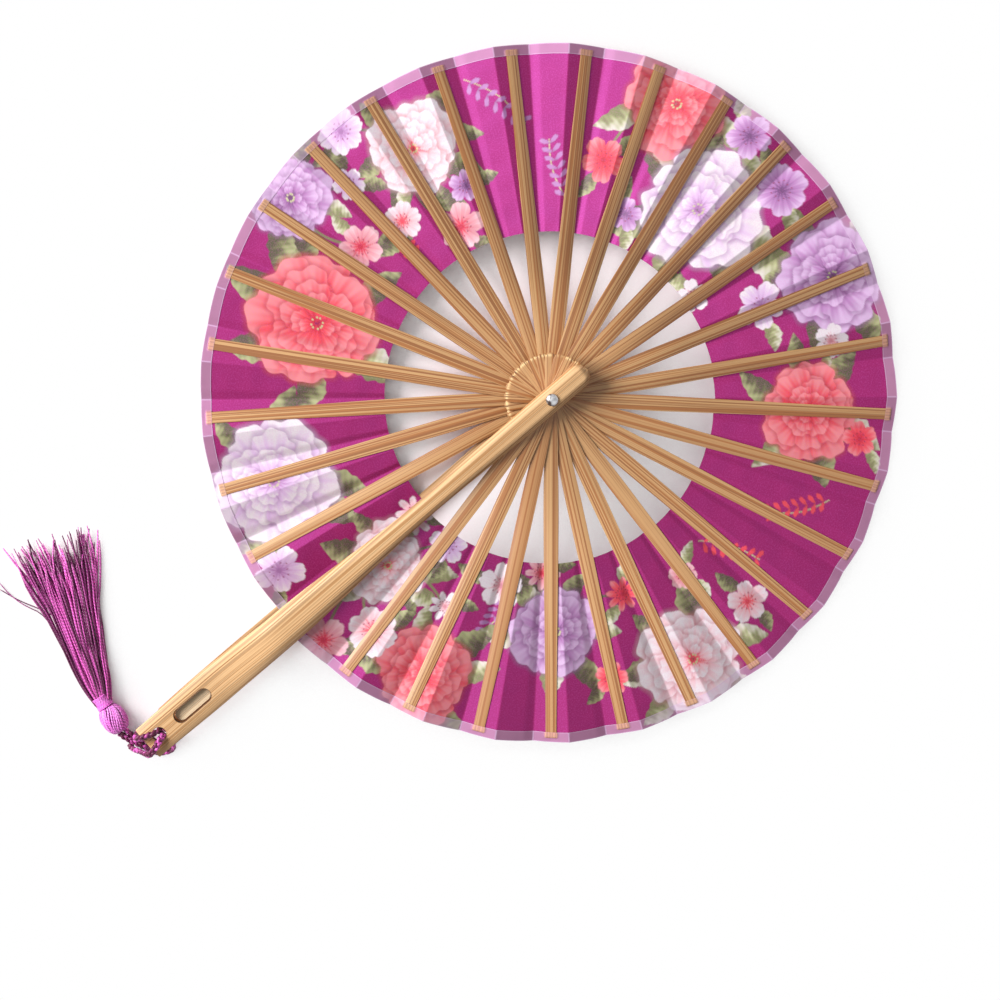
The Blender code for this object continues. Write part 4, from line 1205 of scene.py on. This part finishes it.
# Tassel binding
# One fine thread of the same yarn, wound close round the neck to hold the folded yarn.
NECK_GAP = 0.0003
NECK_LENGTH = 0.0048
NECK_RADIUS = 0.0026
BINDING_TURNS = 11
BINDING_THREAD_RADIUS = 0.00023
BINDING_STEPS = 28
BINDING_LIFT = 0.0002
BINDING_BELLY = 0.00012
NECK = HEAD_START + HEAD_AXIS * (HEAD_LENGTH + NECK_GAP)
binding_look = yarn_look("binding_thread", YARN_SHADE, YARN_BODY, YARN_BRIGHT, 0.0009, 0.4, 0.3, 90)
wound = np.linspace(0, 1, BINDING_TURNS * BINDING_STEPS + 1)
ring = ring_round(2 * math.pi * BINDING_TURNS * wound)
neck_out = (NECK_RADIUS + BINDING_LIFT + BINDING_BELLY * np.cos(2 * math.pi * wound))[:, None]
thread_run = (BINDING_THREAD_RADIUS + (NECK_LENGTH - 2 * BINDING_THREAD_RADIUS) * wound)[:, None]
binding = yarns(
    "tassel_binding_thread", [NECK + HEAD_AXIS * thread_run + ring * neck_out],
    [BINDING_THREAD_RADIUS], 7, binding_look,
)
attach(binding, "front_guard")
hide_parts("tassel_binding")


# Tassel skirt
# The loose ends of the yarn: 165 two-ply strands that leave the neck as a round bundle, spread and sink
# flat on the table, cross here and there, and end ragged. Two thin ones have strayed.
SKIRT_BEND = 0.003
SKIRT_END = past_hole(-0.0752, -0.0147, 0.0016)
# How wide the spread yarn is to each side, at shares of its length
SKIRT_HALF_WIDTHS = [
    (0, 0.0022), (0.16, 0.0033), (0.33, 0.0050), (0.54, 0.0066), (0.74, 0.0092), (1, 0.0165),
]
SKIRT_END_HALF_HEIGHT = 0.0017
SKIRT_STRANDS = 165
SKIRT_STATIONS = 18
UNDER_SHARE = 0.42
UNDER_LENGTH = 0.94
STRAND_SIZE = 0.00040
SHORTEST = -0.085
LONGEST = 0.02
DRIFT = 0.6
# Waves of a strand: how far aside, and how many radians over its length
LONG_WAVE = (0.0013, 5)
SHORT_WAVE = (0.00040, 14)
LOOSE_BODY = (0.11, 0.003, 0.060)
LOOSE_BRIGHT = (0.92, 0.15, 0.64)
# Painted shade: the under strands take these darker colours, as the shade of the strands that lie over them.
SHADED_BODY = (0.085, 0.002, 0.042)
SHADED_BRIGHT = (0.56, 0.06, 0.36)
TWIST = 0.0012
skirt_look = yarn_look("loose_yarn", PLUM_SHADE, LOOSE_BODY, LOOSE_BRIGHT, TWIST, 0.34, 0.12, 22, 0.53)
under_look = yarn_look("shaded_yarn", PLUM_SHADE, SHADED_BODY, SHADED_BRIGHT, TWIST, 0.5, 0.14, 22, 0.50)
bend_at = NECK + HEAD_AXIS * (NECK_LENGTH + SKIRT_BEND)
skirt_lines = []
under_lines = []
for i in range(SKIRT_STRANDS):
    is_under = i < SKIRT_STRANDS * UNDER_SHARE
    long = (1 + TASSEL_DRAWS.uniform(SHORTEST, LONGEST)) * (UNDER_LENGTH if is_under else 1)
    t = np.linspace(0, long, SKIRT_STATIONS + 1)[:, None]
    middle = NECK * (1 - t) ** 2 + bend_at * 2 * t * (1 - t) + SKIRT_END * t**2
    ahead = (bend_at - NECK) * (1 - t) + (SKIRT_END - bend_at) * t
    ahead = ahead / np.linalg.norm(ahead, axis=1)[:, None]
    side = np.cross((0, 0, 1), ahead)
    reach = math.sqrt(TASSEL_DRAWS.random())
    turn = TASSEL_DRAWS.uniform(*((math.pi, 2 * math.pi) if is_under else (-0.3, math.pi + 0.3)))
    drift = TASSEL_DRAWS.uniform(-DRIFT, DRIFT)
    wave_turn = TASSEL_DRAWS.uniform(0, 6.3)
    half = np.interp(t[:, 0], *zip(*SKIRT_HALF_WIDTHS))
    spread = half / SKIRT_HALF_WIDTHS[-1][1]
    high = (NECK_RADIUS - STRAND_SIZE) * (1 - spread) + SKIRT_END_HALF_HEIGHT * spread
    across = np.clip(reach * math.cos(turn) + drift * spread * (1 - spread) * 2, -1, 1)
    wave = LONG_WAVE[0] * np.sin(LONG_WAVE[1] * t[:, 0] + wave_turn)
    wave = wave + SHORT_WAVE[0] * np.sin(SHORT_WAVE[1] * t[:, 0] + 2 * wave_turn)
    line = middle + side * (half * across + wave * spread)[:, None]
    line[:, 2] = np.maximum(middle[:, 2] + high * reach * math.sin(turn), TABLE_GAP + STRAND_SIZE)
    (under_lines if is_under else skirt_lines).append(line)
sizes = [STRAND_SIZE * TASSEL_DRAWS.uniform(0.62, 1.15) for _ in range(SKIRT_STRANDS)]
skirt = yarns("tassel_skirt_yarns", skirt_lines, sizes, 5, skirt_look, 0.5)
under = yarns("tassel_under_yarns", under_lines, sizes, 5, under_look, 0.5)
STRAYS = [
    [(-320, 80, 12), (-405, 78, 8), (-500, 66, 6), (-577, 60, 8), (-640, 82, 14), (-700, 96, 8),
     (-765, 96, 6)],
    [(-460, -10, 12), (-530, 26, 8), (-600, 56, 5), (-665, 86, 8), (-740, 112, 5)],
]
stray_lines = [smooth_line(route_points(way), SKIRT_STATIONS + 1) for way in STRAYS]
strays = yarns("tassel_stray_yarns", stray_lines, [STRAND_SIZE * 0.5] * 2, 5, skirt_look, 0.5)
for piece in (skirt, under, strays):
    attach(piece, "front_guard")
    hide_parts("tassel_skirt")


# Studio
# A white table, one large soft light low at the photograph's left, and a soft white room. The camera
# looks nearly straight down, leant a little to one side, with the handle to the lower left.
FLOOR_HALF = 3.0
# Painted shade tint: the table's own colour shows only where pieces shade it, and is mauve for the colour of
# that shade.
FLOOR_SHADE_TINT = (0.97, 0.84, 0.88)
NEAR_PIECES = 0.03
# Shares of open air between which the table goes from its own colour to the white background
OPEN_AIR = (0.30, 0.80)
WORLD_LIGHT = 0.22
LIGHT_SIZE = 0.6
LIGHT_POWER = 19.6
LIGHT_PLACE = Vector((-0.762, -0.44, 0.572))
LIGHT_TARGET = Vector((0, 0, 0.01))
CAMERA_DISTANCE = 0.6903
CAMERA_LENS = 72
CAMERA_SENSOR = 36
CAMERA_NEAREST = 0.01
CAMERA_TILT = math.radians(6.561)
CAMERA_LEAN = math.radians(2.591)
CAMERA_SPIN = math.radians(-49.427)
CAMERA_ASIDE = (0.01717, 0.03528)


def background_rays(tree):
    """1 for the rays that see the white background: the camera's, and those of gloss and glass."""
    path = node(tree, "LightPath").outputs
    inputs = {0: path["Is Glossy Ray"], 1: path["Is Transmission Ray"]}
    mirrored = node(tree, "Math", inputs, operation="MAXIMUM").outputs[0]
    return node(tree, "Math", {0: path["Is Camera Ray"], 1: mirrored}, operation="MAXIMUM").outputs[0]


floor_look, floor_tree, floor_shader = new_look("white_table", 0.9)
floor_shader.inputs["Base Color"].default_value = (*FLOOR_SHADE_TINT, 1)
floor_shader.inputs["Specular IOR Level"].default_value = 0.1
lit = node(floor_tree, "Emission", {"Color": (1, 1, 1, 1), "Strength": 1.0}).outputs[0]
open_air = node(floor_tree, "AmbientOcclusion", {"Distance": NEAR_PIECES}, samples=4).outputs["AO"]
share_seen = times(floor_tree, background_rays(floor_tree), between(floor_tree, open_air, *OPEN_AIR))
mixed_floor = node(floor_tree, "MixShader", {0: share_seen, 1: floor_shader.outputs[0], 2: lit})
floor_tree.links.new(mixed_floor.outputs[0], floor_tree.nodes["Material Output"].inputs["Surface"])
bm = bmesh.new()
bmesh.ops.create_grid(bm, x_segments=1, y_segments=1, size=FLOOR_HALF)
floor = new_piece("table", mesh_from(bm, "table"), floor_look)

world = bpy.data.worlds.new("studio")
bpy.context.scene.world = world
world.use_nodes = True
room = world.node_tree.nodes["Background"].inputs
room["Color"].default_value = (1, 1, 1, 1)
inputs = {"Value": background_rays(world.node_tree), "To Min": WORLD_LIGHT, "To Max": 1.0}
world.node_tree.links.new(node(world.node_tree, "MapRange", inputs).outputs[0], room["Strength"])

lamp = bpy.data.lights.new("window_light", "AREA")
lamp.size = LIGHT_SIZE
lamp.energy = LIGHT_POWER
window = bpy.data.objects.new("window_light", lamp)
window.location = LIGHT_PLACE
window.rotation_mode = "QUATERNION"
window.rotation_quaternion = (LIGHT_TARGET - LIGHT_PLACE).to_track_quat("-Z", "Y")
bpy.context.scene.collection.objects.link(window)

turn = Matrix.Rotation(CAMERA_TILT, 3, "X") @ Matrix.Rotation(CAMERA_LEAN, 3, "Y")
turn = (turn @ Matrix.Rotation(CAMERA_SPIN, 3, "Z")).transposed()
lens = bpy.data.cameras.new("camera")
lens.lens = CAMERA_LENS
lens.sensor_width = CAMERA_SENSOR
lens.clip_start = CAMERA_NEAREST
camera = bpy.data.objects.new("camera", lens)
away = turn @ Vector((-CAMERA_ASIDE[0], -CAMERA_ASIDE[1], CAMERA_DISTANCE))
camera.matrix_world = Matrix.Translation(away + Vector((0, 0, MIDDLE))) @ turn.to_4x4()
bpy.context.scene.collection.objects.link(camera)
bpy.context.scene.camera = camera
bpy.context.scene.view_settings.view_transform = "Standard"
